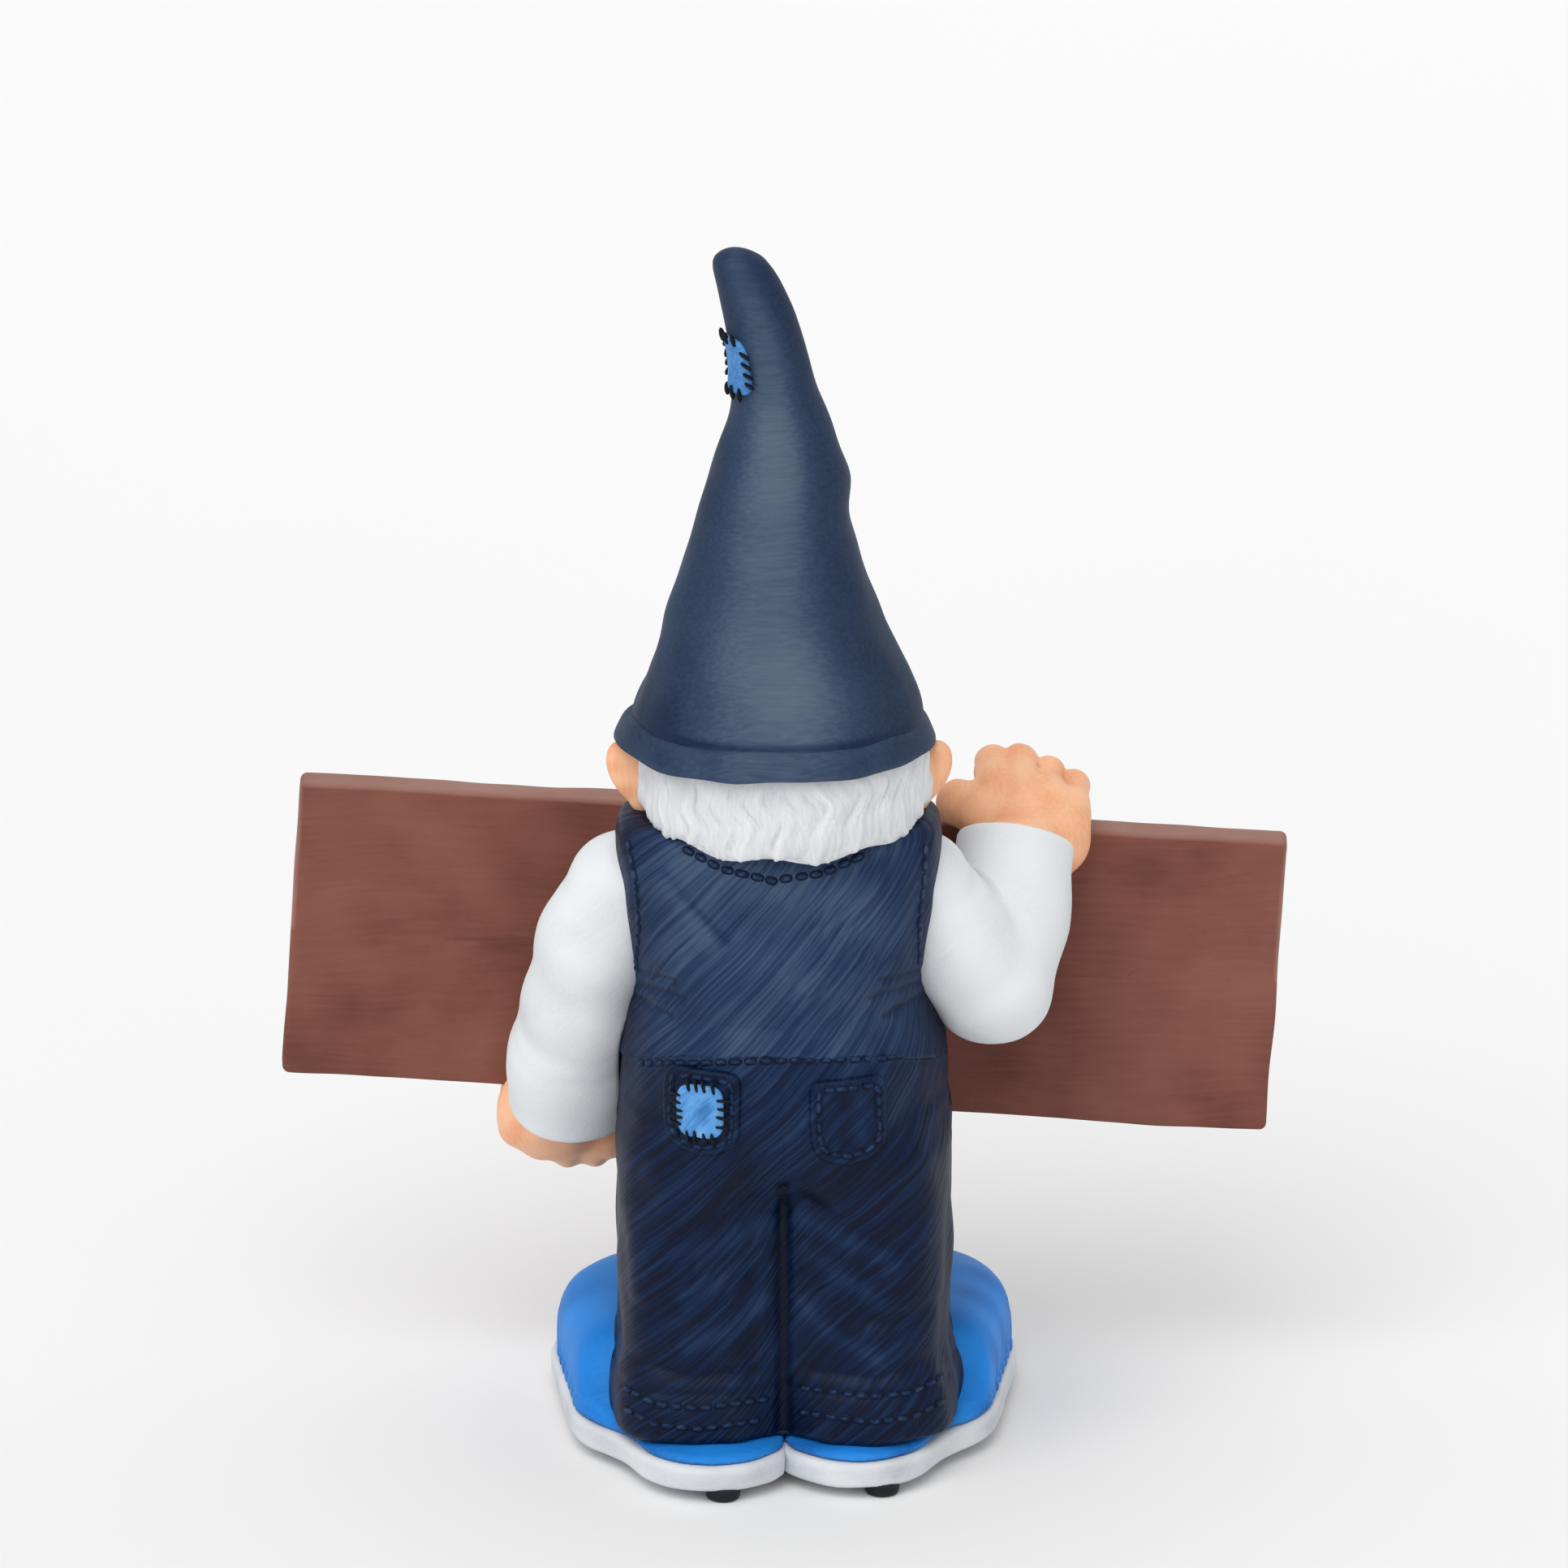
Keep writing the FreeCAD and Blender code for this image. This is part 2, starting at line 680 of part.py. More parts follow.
def make_ears(head):
    """Ears that lean outwards at the top; the hair closes round them."""
    blanks = []
    for side, sign in SIDES.items():
        ear = ellipsoid(
            f"ear_{side}_blank", "dims.ear_half_thick", "dims.ear_half_width", "dims.ear_half_tall",
            x=f"{sign} * dims.ear_x", z="dims.ear_z", axis=Y_AXIS, angle=f"{sign} * dims.ear_lean",
        )
        node(f"ear_{side}", cut(f"ear_{side}", ear, head))
        blanks.append(ear)
    return blanks


def make_hair(head, ears, torso):
    """Hair round the back and sides, from the hat down to the shoulders."""
    front = block("hair_front", REACH, REACH, REACH, x=-REACH / 2, y=f"dims.hair_front_y - {REACH}")
    return node("hair", cut("hair", loft("hair_blank", "hair"), front, head, *ears, torso))


def make_face(head, torso):
    """Eyes, brows and nose on the head, and the moustache and beard over the chest."""
    nose_blank = sphere("nose_blank", "dims.nose_radius", y="dims.nose_y", z="dims.nose_z")
    node("nose", cut("nose", nose_blank, head))
    beard = node("beard", cut("beard", loft("beard_blank", "beard"), head, nose_blank, torso))
    halves = []
    for side, sign in SIDES.items():
        eye_x = f"{sign} * dims.eye_x"
        eye = sphere(f"eye_{side}_blank", "dims.eye_radius", x=eye_x, y="dims.eye_y", z="dims.eye_z")
        node(f"eye_{side}", cut(f"eye_{side}", eye, head))
        brow = ellipsoid(
            f"brow_{side}_blank", "dims.brow_half_width", "dims.brow_half_depth", "dims.brow_half_tall",
            x=f"{sign} * dims.brow_x", y="dims.brow_y", z="dims.brow_z",
        )
        node(f"eyebrow_{side}", cut(f"eyebrow_{side}", brow, head, eye))
        half = ellipsoid(
            f"moustache_{side}", "dims.moustache_half_width", "dims.moustache_half_depth",
            "dims.moustache_half_tall", x=f"{sign} * dims.moustache_x", y="dims.moustache_y",
            z="dims.moustache_z", axis=Y_AXIS, angle=f"{sign} * dims.moustache_droop",
        )
        halves.append(half)
    node("moustache", cut("moustache", fuse("moustache_blank", *halves), nose_blank, head, beard))


def brim_profile(sketch):
    """Section of the brim: square inside, rounded outside, standing on the sketch's X axis."""
    inner = size("brim_inner_radius")
    outer = size("brim_outer_radius")
    tall = size("brim_tall")
    spots = [Vector(inner, 0), Vector(outer, 0), Vector(outer, tall), Vector(inner, tall)]
    low, outside, high, inside = closed_lines(sketch, spots)
    for line in (low, high):
        sketch.addConstraint(Sketcher.Constraint("Horizontal", line))
    for line in (outside, inside):
        sketch.addConstraint(Sketcher.Constraint("Vertical", line))
    sketch.addConstraint(Sketcher.Constraint("PointOnObject", low, 1, -1))
    dimension(sketch, "DistanceX", (-1, 1, low, 1), inner, "dims.brim_inner_radius")
    dimension(sketch, "DistanceX", (-1, 1, low, 2), outer, "dims.brim_outer_radius")
    dimension(sketch, "DistanceY", (outside, 1, outside, 2), tall, "dims.brim_tall")


def make_hat(head):
    """Tall hat that bends to the left at its tip, with a socket for the head, and its rolled brim."""
    cone = loft("hat_cone_loft", "hat")
    tip = sphere("hat_tip", "dims.hat_tip_radius", x="dims.hat_tip_x", z="dims.hat_tip_z")
    whole = fuse("hat_whole", cone, tip)
    node("hat", cut("hat", whole, head))
    body, sketch = sketched_body("brim_blank", "XZ_Plane")
    brim_profile(sketch)
    ring = body.newObject("PartDesign::Revolution", "brim_ring")
    ring.Profile = sketch
    ring.ReferenceAxis = (sketch, ["V_Axis"])
    ring.Angle = 360
    sketch.Visibility = False
    doc.recompute()
    outer_edges = []
    for number, edge in enumerate(ring.Shape.Edges, 1):
        if isinstance(edge.Curve, Part.Circle) and abs(edge.Curve.Radius - size("brim_outer_radius")) < 0.01:
            outer_edges.append(f"Edge{number}")
    rounding = body.newObject("PartDesign::Fillet", "brim_rounding")
    rounding.Base = (ring, outer_edges)
    bind(rounding, Radius="dims.brim_rounding")
    place(body, x="dims.brim_x", z="dims.brim_low_z")
    node("hat_brim", cut("hat_brim", body, whole))


def make_hat_patch():
    """Patch sewn on the left of the hat's upper end, with its heavy stitches."""
    cone = doc.getObject("hat_cone_loft")
    skin = loft("hat_patch_skin", "hat", grow="dims.patch_thick")
    blank = rounded_plate(
        "hat_patch_blank", "YZ_Plane", "hat_patch_width", "hat_patch_tall", "2 * dims.hat_7_half_width",
        "dims.patch_corner",
    )
    place(blank, x="dims.hat_7_x + 1.5 * dims.hat_7_half_width", z="dims.hat_patch_z")
    patch = node("hat_patch", cut("hat_patch", common("hat_patch_plate", blank, skin), cone))
    threads = stitches(
        "hat_threads", "y", "hat_patch_width", "hat_patch_tall",
        "dims.hat_7_x + dims.hat_7_half_width / 3", "0", "dims.hat_patch_z",
    )
    outer = loft("hat_thread_skin", "hat", grow="dims.patch_thick + dims.thread_proud")
    sewn = common("hat_threads_trimmed", threads, outer)
    node("hat_patch_stitches", cut("hat_patch_stitches", sewn, cone, patch))


# ---- board, hands and arms


def on_board(thing, along, above, depth, half_turn=0):
    """Places a thing on the tilted board's axes: along its length, above its middle line and behind it."""
    slope = "dims.board_tilt"
    bind(
        thing,
        Placement__Base__x=f"({along}) * cos({slope}) + ({above}) * sin({slope})",
        Placement__Base__y=f"dims.axis_back + dims.board_y + {depth}",
        Placement__Base__z=f"dims.board_z - ({along}) * sin({slope}) + ({above}) * cos({slope})",
    )
    return turn(thing, Y_AXIS, f"{slope} + {half_turn}")


def make_board():
    body = rounded_plate(
        "board", "XZ_Plane", "board_length", "board_tall", "dims.board_thick", "dims.board_corner"
    )
    return node("sign_board", on_board(body, "0", "0", "0"))


def make_hand(side, board):
    """Fist closed on an edge of the board, its thumb pointing to the middle of the board, and the wrist."""
    sign = SIDES[side]
    grip = fuse(f"grip_{side}", loft(f"fist_{side}", "fist"), loft(f"thumb_{side}", "thumb"))
    above = f"{-sign} * (dims.board_tall / 2 + dims.grip_above_edge)"
    # the stations run along the edge, so the fist is laid over by a quarter turn
    half_turn = 90 if sign < 0 else 270
    on_board(grip, f"dims.grip_{side}_along", above, "-dims.axis_back", half_turn)
    wrist = sphere(
        f"wrist_{side}", "dims.wrist_radius",
        x=f"dims.wrist_{side}_x", y=f"dims.wrist_{side}_y", z=f"dims.wrist_{side}_z",
    )
    return node(f"hand_{side}", cut(f"hand_{side}", fuse(f"hand_{side}_whole", grip, wrist), board))


def make_sleeves(hands, torso):
    """Sleeves from the shoulders to the wrists, with sockets for the hands."""
    seat = doc.getObject("seat_of_trousers")
    elbow = sphere("elbow", "dims.elbow_radius", x="dims.elbow_x", y="dims.elbow_y", z="dims.elbow_z")
    members = {
        "left": [loft("arm_left_loft", "arm_left")],
        "right": [loft("upper_arm_loft", "upper_arm_right"), elbow, loft("forearm_loft", "forearm_right")],
    }
    for side, sign in SIDES.items():
        shoulder = sphere(
            f"shoulder_{side}", "dims.shoulder_radius", x=f"{sign} * dims.shoulder_x", z="dims.shoulder_z"
        )
        trimmed = []
        for number, member in enumerate([shoulder, *members[side]], 1):
            trimmed.append(cut(f"arm_{side}_{number}", member, torso, seat))
        whole = fuse(f"sleeve_{side}_whole", *trimmed)
        node(f"sleeve_{side}", cut(f"sleeve_{side}", whole, hands[side]))


def build():
    fill_sheet()
    make_shoes()
    make_trousers()
    head = make_head()
    torso = make_torso(head)
    make_buttons(torso)
    make_back_pockets()
    make_seat_patch()
    make_hair(head, make_ears(head), torso)
    make_face(head, torso)
    make_hat(head)
    make_hat_patch()
    board = make_board()
    hands = {side: make_hand(side, board) for side in SIDES}
    make_sleeves(hands, torso)
    doc.recompute()


def check():
    """Stops at any failed object, and at any piece that is empty or not valid."""
    failed = [thing.Name for thing in doc.Objects if {"Invalid", "Error"} & set(thing.State)]
    if failed:
        raise RuntimeError(f"failed objects: {failed}")
    for piece in nodes:
        shape = piece.Shape
        if shape.isNull() or not shape.isValid() or not shape.Solids or shape.Volume <= 0:
            raise RuntimeError(f"{piece.Label} has no valid solid")


build()
check()
os.makedirs("parts", exist_ok=True)
for piece in nodes:
    piece.Shape.exportStep(os.path.join("parts", f"{piece.Label}.step"))
    print(f"{piece.Label}: {len(piece.Shape.Solids)} solid(s), {piece.Shape.Volume:.0f} mm3")
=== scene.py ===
"""Looks of the garden gnome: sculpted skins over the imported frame, paint materials, floor, lights and camera.

Shapes are written in millimetres: x to the figure's left, y from the figure's axis towards its back, z up.
A pair (x, s) is a place as it is seen from the viewing direction: s is its height where the sight line
crosses the plane through the axis.
"""

import math

import bpy
import numpy as np
import openvdb
from mathutils import Matrix, Vector
from mathutils.bvhtree import BVHTree


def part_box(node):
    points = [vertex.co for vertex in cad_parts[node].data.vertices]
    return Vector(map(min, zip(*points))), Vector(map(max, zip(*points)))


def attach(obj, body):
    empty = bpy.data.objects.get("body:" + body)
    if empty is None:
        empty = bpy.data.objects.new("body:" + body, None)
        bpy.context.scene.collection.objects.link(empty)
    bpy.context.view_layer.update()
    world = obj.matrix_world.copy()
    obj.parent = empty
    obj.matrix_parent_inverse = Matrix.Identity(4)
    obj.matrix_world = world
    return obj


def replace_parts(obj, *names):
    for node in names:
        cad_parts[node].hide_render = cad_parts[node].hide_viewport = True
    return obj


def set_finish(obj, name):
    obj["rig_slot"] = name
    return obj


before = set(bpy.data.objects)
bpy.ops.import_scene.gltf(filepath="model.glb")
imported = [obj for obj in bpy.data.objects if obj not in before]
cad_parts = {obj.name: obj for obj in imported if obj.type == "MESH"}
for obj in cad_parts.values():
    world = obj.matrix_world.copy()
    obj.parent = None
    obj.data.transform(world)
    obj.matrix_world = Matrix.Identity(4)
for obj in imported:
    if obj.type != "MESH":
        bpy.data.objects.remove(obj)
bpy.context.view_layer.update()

MM = 0.001
BOARD_BEHIND_AXIS = 0.045  # metres from the board's middle plane to the figure's axis
ELEVATION = math.radians(20)
TAN_VIEW = math.tan(ELEVATION)
RNG = np.random.default_rng(20)
COARSE = 1.0
SOLE_SET_BACK = 2.4  # how far the right shoe stands behind the left one, towards the front of the figure
STITCH_PITCH = 3.15
FLAT_TRIM = 0.45  # hollow value of trim, which is rubbed a little like an edge
FAR = 200.0  # where sight lines start, well clear of the figure


def box_mid(node):
    low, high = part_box(node)
    return (Vector(low) + Vector(high)) / 2


AXIS_Y = box_mid("sign_board").y + BOARD_BEHIND_AXIS

# ---- fields: signed distances in millimetres, negative inside


class Grid:
    def __init__(self, low, high, step):
        step *= COARSE
        edge = 4 * step
        axes = [np.arange(a - edge, b + edge, step, dtype=np.float32) for a, b in zip(low, high)]
        self.step = step
        self.low = np.array([a[0] for a in axes])
        self.x, self.y, self.z = np.meshgrid(*axes, indexing="ij", sparse=True)
        self.shape = tuple(len(a) for a in axes)


def smin(a, b, k):
    h = np.clip(0.5 + 0.5 * (b - a) / k, 0, 1)
    return b + (a - b) * h - k * h * (1 - h)


def smax(a, b, k):
    return -smin(-a, -b, k)


def ellipsoid(g, centre, radii, turn=0.0):
    """Ellipsoid, leaned by an angle about the y axis."""
    x, y, z = g.x - centre[0], g.y - centre[1], g.z - centre[2]
    if turn:
        c, s = math.cos(turn), math.sin(turn)
        x, z = c * x - s * z, s * x + c * z
    k0 = np.sqrt((x / radii[0]) ** 2 + (y / radii[1]) ** 2 + (z / radii[2]) ** 2)
    k1 = np.sqrt((x / radii[0] ** 2) ** 2 + (y / radii[1] ** 2) ** 2 + (z / radii[2] ** 2) ** 2)
    return k0 * (k0 - 1) / np.maximum(k1, 1e-6)


def curve_through(knots, values, at):
    """Smooth monotone interpolation with flat-limited slopes."""
    knots, values = np.asarray(knots, float), np.asarray(values, float)
    gaps = np.diff(knots)
    rise = np.diff(values) / gaps
    slope = np.zeros_like(values)
    slope[0], slope[-1] = rise[0], rise[-1]
    same = rise[:-1] * rise[1:] > 0
    slope[1:-1][same] = 2 * rise[:-1][same] * rise[1:][same] / (rise[:-1] + rise[1:])[same]
    at = np.clip(at, knots[0], knots[-1])
    i = np.clip(np.searchsorted(knots, at) - 1, 0, len(gaps) - 1)
    t = (at - knots[i]) / gaps[i]
    a, b = values[i], values[i + 1]
    m, n = slope[i] * gaps[i], slope[i + 1] * gaps[i]
    start = (2 * t**3 - 3 * t**2 + 1) * a + (t**3 - 2 * t**2 + t) * m
    return start + (3 * t**2 - 2 * t**3) * b + (t**3 - t**2) * n


def stack(g, stations, power=2.0, ends=1.5):
    """Rounded member through level sections, each centre x, centre y, height, half width and half depth."""
    rows = np.array(stations, float)
    z = g.z.astype(float)
    cx, cy, rx, ry = (curve_through(rows[:, 2], rows[:, n], z).astype(np.float32) for n in (0, 1, 3, 4))
    q = (np.abs((g.x - cx) / rx) ** power + np.abs((g.y - cy) / ry) ** power) ** (1 / power)
    side = (q - 1) * np.minimum(rx, ry)
    side = smax(side, g.z - rows[-1, 2], ends)
    return smax(side, rows[0, 2] - g.z, ends)


def limb(g, joints, blend=1.0):
    """Chain of tapered round members; each joint is x, y, z and radius."""
    made = None
    for a, b in zip(joints, joints[1:]):
        d = [b[n] - a[n] for n in range(3)]
        long2 = sum(v * v for v in d) or 1e-6
        t = ((g.x - a[0]) * d[0] + (g.y - a[1]) * d[1] + (g.z - a[2]) * d[2]) / long2
        t = np.clip(t, 0, 1)
        away = (g.x - a[0] - t * d[0]) ** 2 + (g.y - a[1] - t * d[1]) ** 2
        away = away + (g.z - a[2] - t * d[2]) ** 2
        one = np.sqrt(away) - (a[3] + t * (b[3] - a[3]))
        made = one if made is None else smin(made, one, blend)
    return made


def mirrored(sign, joints, middle=0.0):
    """Joints with their x turned over by a sign of -1, then moved to a middle."""
    return [(middle + sign * x, y, z, r) for x, y, z, r in joints]


def plane(g, point, normal):
    """Half space behind a plane."""
    n = Vector(normal).normalized()
    return (g.x - point[0]) * n.x + (g.y - point[1]) * n.y + (g.z - point[2]) * n.z


# ---- meshes


def new_object(name, points, faces, slot):
    """Object from points in millimetres and faces of one size."""
    mesh = bpy.data.meshes.new(name)
    points = np.asarray(points, np.float32) * MM
    points[:, 1] += AXIS_Y
    faces = np.asarray(faces, np.int32)
    mesh.vertices.add(len(points))
    mesh.vertices.foreach_set("co", points.ravel())
    mesh.loops.add(faces.size)
    mesh.loops.foreach_set("vertex_index", faces.ravel())
    mesh.polygons.add(len(faces))
    mesh.polygons.foreach_set("loop_start", np.arange(0, faces.size, faces.shape[1], dtype=np.int32))
    mesh.update(calc_edges=True)
    mesh.validate()
    mesh.shade_smooth()
    thing = bpy.data.objects.new(name, mesh)
    bpy.context.collection.objects.link(thing)
    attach(thing, "root")
    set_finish(thing, slot)
    return thing


def surface_of(thing):
    """Points in millimetres and normals of a mesh."""
    size = len(thing.data.vertices) * 3
    p, n = np.empty(size, np.float32), np.empty(size, np.float32)
    thing.data.vertices.foreach_get("co", p)
    thing.data.vertices.foreach_get("normal", n)
    p = p.reshape(-1, 3)
    p[:, 1] -= AXIS_Y
    return p / MM, n.reshape(-1, 3)


def set_points(thing, points):
    points = points * MM
    points[:, 1] += AXIS_Y
    thing.data.vertices.foreach_set("co", points.astype(np.float32).ravel())
    thing.data.update()


def skin(node, g, field, slot, relief=None, shade=None, to_figure=None):
    """Skin of a field, shown for a node. relief gives a height for each point, shade a paint value."""
    volume = openvdb.FloatGrid(3 * g.step)
    field = np.broadcast_to(field, g.shape)
    volume.copyFromArray(np.clip(field, -3 * g.step, 3 * g.step).astype(np.float32))
    points, quads = volume.convertToQuads(0.0)
    points = points * g.step + g.low
    if to_figure is not None:
        points = to_figure(points)
    if is_inside_out(points, quads):
        quads = quads[:, ::-1]
    thing = new_object(f"{node}_skin", points, quads, slot)
    if relief is not None:
        p, n = surface_of(thing)
        set_points(thing, p + n * relief(p, n)[:, None])
    p, n = surface_of(thing)
    paint_values(thing, hollows(thing, p, n), shades(shade, p, n))
    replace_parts(thing, node)
    return thing


def is_inside_out(points, quads):
    a, b, c = (points[quads[:, n]] for n in range(3))
    return np.einsum("ij,ij->i", a, np.cross(b, c)).sum() < 0


def shades(shade, p, n):
    """Paint values of the points, at the middle of the ramp where no rule is given."""
    return 0.5 if shade is None else np.clip(shade(p, n), 0, 1)


def hollows(thing, p, n):
    """How hollow the surface is at each vertex: 0.5 is flat, above is a groove, below an edge."""
    rounds, reach = 3, 1.2
    edges = np.empty(len(thing.data.edges) * 2, np.int32)
    thing.data.edges.foreach_get("vertices", edges)
    a, b = edges.reshape(-1, 2).T
    count = np.maximum(np.bincount(a, minlength=len(p)) + np.bincount(b, minlength=len(p)), 1)

    def spread(v):
        return (np.bincount(a, v[b], len(p)) + np.bincount(b, v[a], len(p))) / count

    mean = p.astype(float)
    for _ in range(rounds):
        mean = np.stack([spread(mean[:, k]) for k in range(3)], 1)
    value = np.einsum("ij,ij->i", mean - p, n)
    value = spread(spread(value))
    return np.clip(0.5 + value * reach, 0, 1)


def paint_values(thing, hollow, shade):
    """Values for the paints, one for each point or one for all."""
    for name, values in (("hollow", hollow), ("shade", shade)):
        layer = thing.data.attributes.new(name, "FLOAT", "POINT")
        values = np.broadcast_to(np.asarray(values, np.float32), len(layer.data))
        layer.data.foreach_set("value", np.ascontiguousarray(values))


# ---- reliefs and paint values


def waves(p, length, stretch=(1, 1, 1), count=10):
    """Smooth noise of about one wavelength, between -1 and 1."""
    total = np.zeros(len(p))
    q = p * np.array(stretch)
    for _ in range(count):
        way = RNG.normal(size=3)
        way *= 2 * math.pi / length / np.linalg.norm(way) * RNG.uniform(0.7, 1.4)
        total += np.sin(q @ way + RNG.uniform(0, 2 * math.pi))
    return total / math.sqrt(count / 2) / 2


def uneven(middle, height, length):
    """Rule for a value that wanders about a middle."""
    return lambda p, n: middle + height * waves(p, length)


def seen(p):
    """The (x, s) places of points."""
    return np.stack([p[:, 0], p[:, 2] - p[:, 1] * TAN_VIEW], 1)


def near(p, path):
    """Distance in the seen plane from a path of (x, s) places."""
    q, best = seen(p), np.full(len(p), 1e9)
    for a, b in zip(np.array(path[:-1], float), np.array(path[1:], float)):
        ab = b - a
        t = np.clip((q - a) @ ab / (ab @ ab), 0, 1)
        best = np.minimum(best, np.linalg.norm(q - a - t[:, None] * ab, axis=1))
    return best


def facing(n):
    """1 where the surface faces the back of the figure, 0 where it faces the front."""
    return np.clip(n[:, 1] / 0.35, 0, 1)


def line(p, n, path, width, depth):
    """Groove along a path of (x, s) places."""
    return -depth * bell(near(p, path), 0, width) * facing(n)


def bell(values, middle, width):
    return np.exp(-(((values - middle) / width) ** 2))


# ---- thin pieces laid on a skin


def tree_of(thing):
    return BVHTree.FromObject(thing, bpy.context.evaluated_depsgraph_get())


def cast(tree, start, way):
    """Place and normal where a ray meets a skin, in millimetres."""
    origin = Vector((start[0] * MM, start[1] * MM + AXIS_Y, start[2] * MM))
    hit, normal, _, _ = tree.ray_cast(origin, Vector(way).normalized())
    if hit is None:
        return None
    place = np.array([hit.x, hit.y - AXIS_Y, hit.z]) / MM
    return place, np.array(normal)


def cast_seen(tree, x, s):
    way = (0, -math.cos(ELEVATION), -math.sin(ELEVATION))
    return cast(tree, (x, FAR, s + FAR * TAN_VIEW), way)


def cast_back(tree, x, z):
    return cast(tree, (x, FAR, z), (0, -1, 0))


def cast_round(tree, around, z, centre):
    """From outside towards an upright axis; around is an angle from the back towards the figure's left."""
    way = np.array([math.sin(around), math.cos(around), 0.0])
    start = np.array([centre[0], centre[1], z]) + way * 80
    return cast(tree, start, -way)


def rounded_outline(half_wide, half_tall, corner, point=0.0, top_corner=1.0, count=72):
    """Closed outline of a rounded rectangle, its lower edge drawn down to a shallow point."""
    out = []
    for k in range(count):
        a = 2 * math.pi * k / count
        c, s = math.cos(a), math.sin(a)
        power = 2 + 6 * (1 - (corner if s < 0 else min(corner, top_corner)))
        r = (abs(c) ** power + abs(s) ** power) ** (-1 / power)
        x, z = half_wide * r * c, half_tall * r * s
        if s < 0:
            z -= point * (1 - abs(x) / half_wide) * min(1, -s * 2)
        out.append((x, z))
    return np.array(out)


def ring_faces(rings, count, first=0):
    """Quads between neighbouring rings of points."""
    faces = []
    for start in range(first, first + (rings - 1) * count, count):
        for k in range(count):
            a, b = start + k, start + (k + 1) % count
            faces.append((a, b, b + count, a + count))
    return faces


def draped(node, outline, locate, thick, slot, rim=0.0, shade=None):
    """Thin raised piece: an outline with a rounded edge laid on a surface found by locate(x, z)."""
    shares = [1.03, 1.02, 0.985, 0.95, 0.9, 0.84, 0.76, 0.64, 0.5, 0.34, 0.17]
    heights = [-0.5, thick * 0.55, thick * 0.95] + [thick] * 8
    if rim:
        heights[3:7] = [thick + rim, thick + rim, thick - rim * 0.3, thick]
    count = len(outline)
    rings = []
    for share, height in zip(shares, heights):
        for x, z in outline * share:
            place, normal = locate(x, z)
            lift = height + 0.12 * math.sin(1.7 * x + 0.6 * z) * (height > 0)
            rings.append(place + normal * lift)
    place, normal = locate(0, 0)
    rings.append(place + normal * thick)
    faces = ring_faces(len(shares), count)
    mid = len(rings) - 1
    last = (len(shares) - 1) * count
    for k in range(0, count, 2):
        faces.append((last + k, last + (k + 1) % count, last + (k + 2) % count, mid))
    points = np.array(rings)
    faces = np.array(faces)
    thing = new_object(f"{node}_skin", points, faces, slot)
    a, b, c = (points[faces[:, k]] for k in range(3))
    outward = np.cross(b - a, c - a).sum(0)
    if outward @ normal < 0:
        thing.data.flip_normals()
    paint_values(thing, FLAT_TRIM, shades(shade, *surface_of(thing)))
    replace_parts(thing, node)
    return thing


def bead(place, along, normal, half, points, faces, rows=7, count=14):
    """One rounded bead, long along a direction."""
    along = along - normal * (along @ normal)
    along /= np.linalg.norm(along) + 1e-9
    across = np.cross(normal, along)
    first = len(points)
    for r in range(rows + 1):
        lat = math.pi * r / rows
        for k in range(count):
            a = 2 * math.pi * k / count
            c, s = math.cos(a), math.sin(a)
            c, s = math.copysign(abs(c) ** 0.75, c), math.copysign(abs(s) ** 0.75, s)
            u = math.sin(lat)
            points.append(
                place + along * half[0] * u * c + across * half[1] * u * s + normal * half[2] * math.cos(lat)
            )
    faces += [(a, d, c, b) for a, b, c, d in ring_faces(rows + 1, count, first)]


def beads(name, places, half, slot, shade=0.5):
    """Row of beads as one piece; each place is point, direction and normal."""
    points, faces = [], []
    for place, along, normal in places:
        size = np.array(half) * RNG.uniform(0.9, 1.1, 3)
        bead(np.array(place), np.array(along, float), np.array(normal), size, points, faces)
    thing = new_object(name, np.array(points), np.array(faces), slot)
    paint_values(thing, FLAT_TRIM, shade)
    return thing


def row_on(tree, path):
    """Stitch places spaced evenly along a path of (x, s)."""
    path = np.array(path, float)
    dense = []
    for a, b in zip(path, path[1:]):
        steps = max(2, int(np.linalg.norm(b - a) / 0.25))
        dense += [a + (b - a) * k / steps for k in range(steps)]
    dense.append(path[-1])
    hits = [hit for hit in (cast_seen(tree, *q) for q in dense) if hit is not None]
    out, run = [], 0.0
    for before, now in zip(hits, hits[1:]):
        gap = np.linalg.norm(now[0] - before[0])
        if gap > STITCH_PITCH:
            continue
        run += gap
        if run >= STITCH_PITCH:
            run -= STITCH_PITCH
            out.append((now[0], now[0] - before[0], now[1]))
    return out


# paint values of the stitch tops in the cloth's ramp, lighter than the cloth round them: a painted highlight on
# the raised stitches
STITCH_SHADE = {"bodice": 0.6, "trousers": 0.48, "pocket": 0.46}


def stitch_rows(name, rows):
    """Rounded stitches in the cloth's paint, each in a dark outline that is painted shade round the pressed
    stitch.
    """
    places = [place for row in rows for place in row]
    # outlines in the darkest cloth paint: painted shade round each pressed stitch
    beads(f"{name}_outlines", places, (1.5, 0.92, 0.2), "thread_paint", 0.0)
    raised = [(place + normal * 0.08, along, normal) for place, along, normal in places]
    beads(f"{name}_stitches", raised, (1.08, 0.5, 0.46), "overalls_resin", STITCH_SHADE[name])


# ---- overalls

